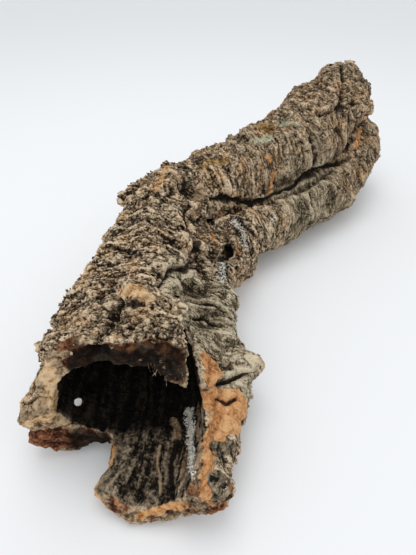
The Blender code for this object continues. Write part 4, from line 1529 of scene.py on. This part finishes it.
def flakeInto(shape, rng, spot, normal, way, home):
    # a thin torn plate, its near edge lifted off the bark
    homes = shape.verts.layers.float_vector["restPlace"]
    normal, way = Vector(normal), Vector(way)
    ahead = (way - normal * way.dot(normal)).normalized()
    across = ahead.cross(normal)
    turn = Matrix((across, ahead, normal)).transposed()
    lift = math.radians(-rng.uniform(*flakes["lift"]))
    spin = math.radians(rng.uniform(-1, 1) * flakes["turn"])
    turn = turn @ Matrix.Rotation(spin, 3, "Z") @ Matrix.Rotation(lift, 3, "X")
    wide, long = rng.uniform(*flakes["across"]), rng.uniform(*flakes["along"])
    thick = rng.uniform(*flakes["thick"])
    corners = rng.randint(*flakes["corners"])
    rows = []
    for level, spread in flakes["levels"]:
        row = []
        for corner in range(corners):
            angle = math.tau * (corner + flakes["cornerShift"] * rng.uniform(-1, 1)) / corners
            reach = spread * rng.uniform(*flakes["cornerReach"])
            inFlake = Vector((
                math.cos(angle) * wide * 0.5 * reach,
                math.sin(angle) * long * 0.5 * reach,
                thick * (level + flakes["levelShift"] * rng.uniform(-1, 1)),
            ))
            at = Vector(spot) + turn @ inFlake + normal * thick * flakes["sink"]
            vertex = shape.verts.new(at)
            vertex[homes] = home
            row.append(vertex)
        rows.append(row)
    closeRows(shape, rows)


def crumbForms(rng):
    # a few angular lumps, each as its corners and its faces
    forms = []
    for _ in range(crumbs["forms"]):
        shape = bmesh.new()
        for _ in range(crumbs["corners"]):
            shape.verts.new(Vector([rng.gauss(0, 1) for _ in range(3)]).normalized())
        hull = bmesh.ops.convex_hull(shape, input=shape.verts)
        unused = [part for part in hull["geom_interior"] if isinstance(part, bmesh.types.BMVert)]
        bmesh.ops.delete(shape, geom=unused, context="VERTS")
        shape.verts.index_update()
        corners = [vertex.co.copy() for vertex in shape.verts]
        forms.append((corners, [[vertex.index for vertex in face.verts] for face in shape.faces]))
        shape.free()
    return forms


def crumbInto(shape, rng, form, spot, normal, home):
    # one of the lumps, turned and squashed, a little sunk into the bark
    homes = shape.verts.layers.float_vector["restPlace"]
    size = rng.uniform(*crumbs["size"])
    squash = rng.uniform(*crumbs["squash"])
    turn = Euler([rng.uniform(0, math.tau) for _ in range(3)]).to_matrix()
    made = []
    corners, faces = form
    for corner in corners:
        at = turn @ Vector((corner.x, corner.y, corner.z * squash)) * size
        vertex = shape.verts.new(Vector(spot) + at + Vector(normal) * size * crumbs["sink"])
        vertex[homes] = home
        made.append(vertex)
    for face in faces:
        shape.faces.new([made[corner] for corner in face])


def finishLoose(name, shape):
    # one piece of all the flakes, crumbs or fibres, marked and coloured as the skin below it
    bmesh.ops.triangulate(shape, faces=shape.faces)
    bmesh.ops.recalc_face_normals(shape, faces=shape.faces)
    mesh = bpy.data.meshes.new(name)
    shape.to_mesh(mesh)
    shape.free()
    points = keepInside(pointsOf(mesh))
    movePoints(mesh, points)
    addVectors(mesh, "barkPlace", rollMap.locate(points)[0])
    addMarks(mesh)
    mesh.materials.append(barkMaterial)
    obj = linkMesh(name, mesh)
    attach(obj, "root")
    print("loose bark:", name, "with", len(mesh.polygons), "faces")


def makeFlakes(mesh):
    rng = random.Random(flakes["seed"])
    shape = looseShape()
    for spot, normal, way, home in zip(*looseSpots(rng, mesh, flakes["count"])):
        flakeInto(shape, rng, spot, normal, way, home)
    finishLoose("barkFlakes", shape)


def makeCrumbs(mesh):
    rng = random.Random(crumbs["seed"])
    shape = looseShape()
    forms = crumbForms(rng)
    spots = looseSpots(rng, mesh, crumbs["count"], crumbs["tornWeight"])
    for spot, normal, way, home in zip(*spots):
        crumbInto(shape, rng, rng.choice(forms), spot, normal, home)
    finishLoose("barkCrumbs", shape)


def makeFibres():
    # thin torn threads that hang under the hood's end
    rng = random.Random(fibres["seed"])
    shape = looseShape()
    for _ in range(fibres["count"]):
        part = rng.random() * (len(fibres["path"]) - 1)
        a, b = fibres["path"][int(part)], fibres["path"][int(part) + 1]
        scatter = Vector([rng.uniform(-1, 1) * fibres["scatter"] for _ in range(3)])
        at = Vector(a).lerp(Vector(b), part % 1.0) + scatter
        fall = Vector([rng.uniform(*lean) for lean in fibres["lean"]] + [-1.0]).normalized()
        step = rng.uniform(*fibres["length"]) / fibres["steps"]
        bend = Vector([rng.uniform(-1, 1) for _ in range(3)]) * fibres["sway"] / fibres["steps"]
        rows = []
        for level in range(fibres["steps"] + 1):
            thick = fibres["thick"] * (1.0 - fibres["taper"] * level / fibres["steps"])
            rows.append([
                shape.verts.new(at + Vector((math.cos(angle), math.sin(angle), 0)) * thick)
                for angle in (math.tau * side / fibres["sides"] for side in range(fibres["sides"]))
            ])
            at = at + fall * step + bend * level * fibres["bend"]
        closeRows(shape, rows)
    finishLoose("tornFibres", shape)


makeFlakes(barkSkin.data)
makeCrumbs(barkSkin.data)
makeFibres()

barkSkin.data.materials.clear()
barkSkin.data.materials.append(barkMaterial)
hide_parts(barkNode)
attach(barkSkin, "root")
print("bark skin: finished")
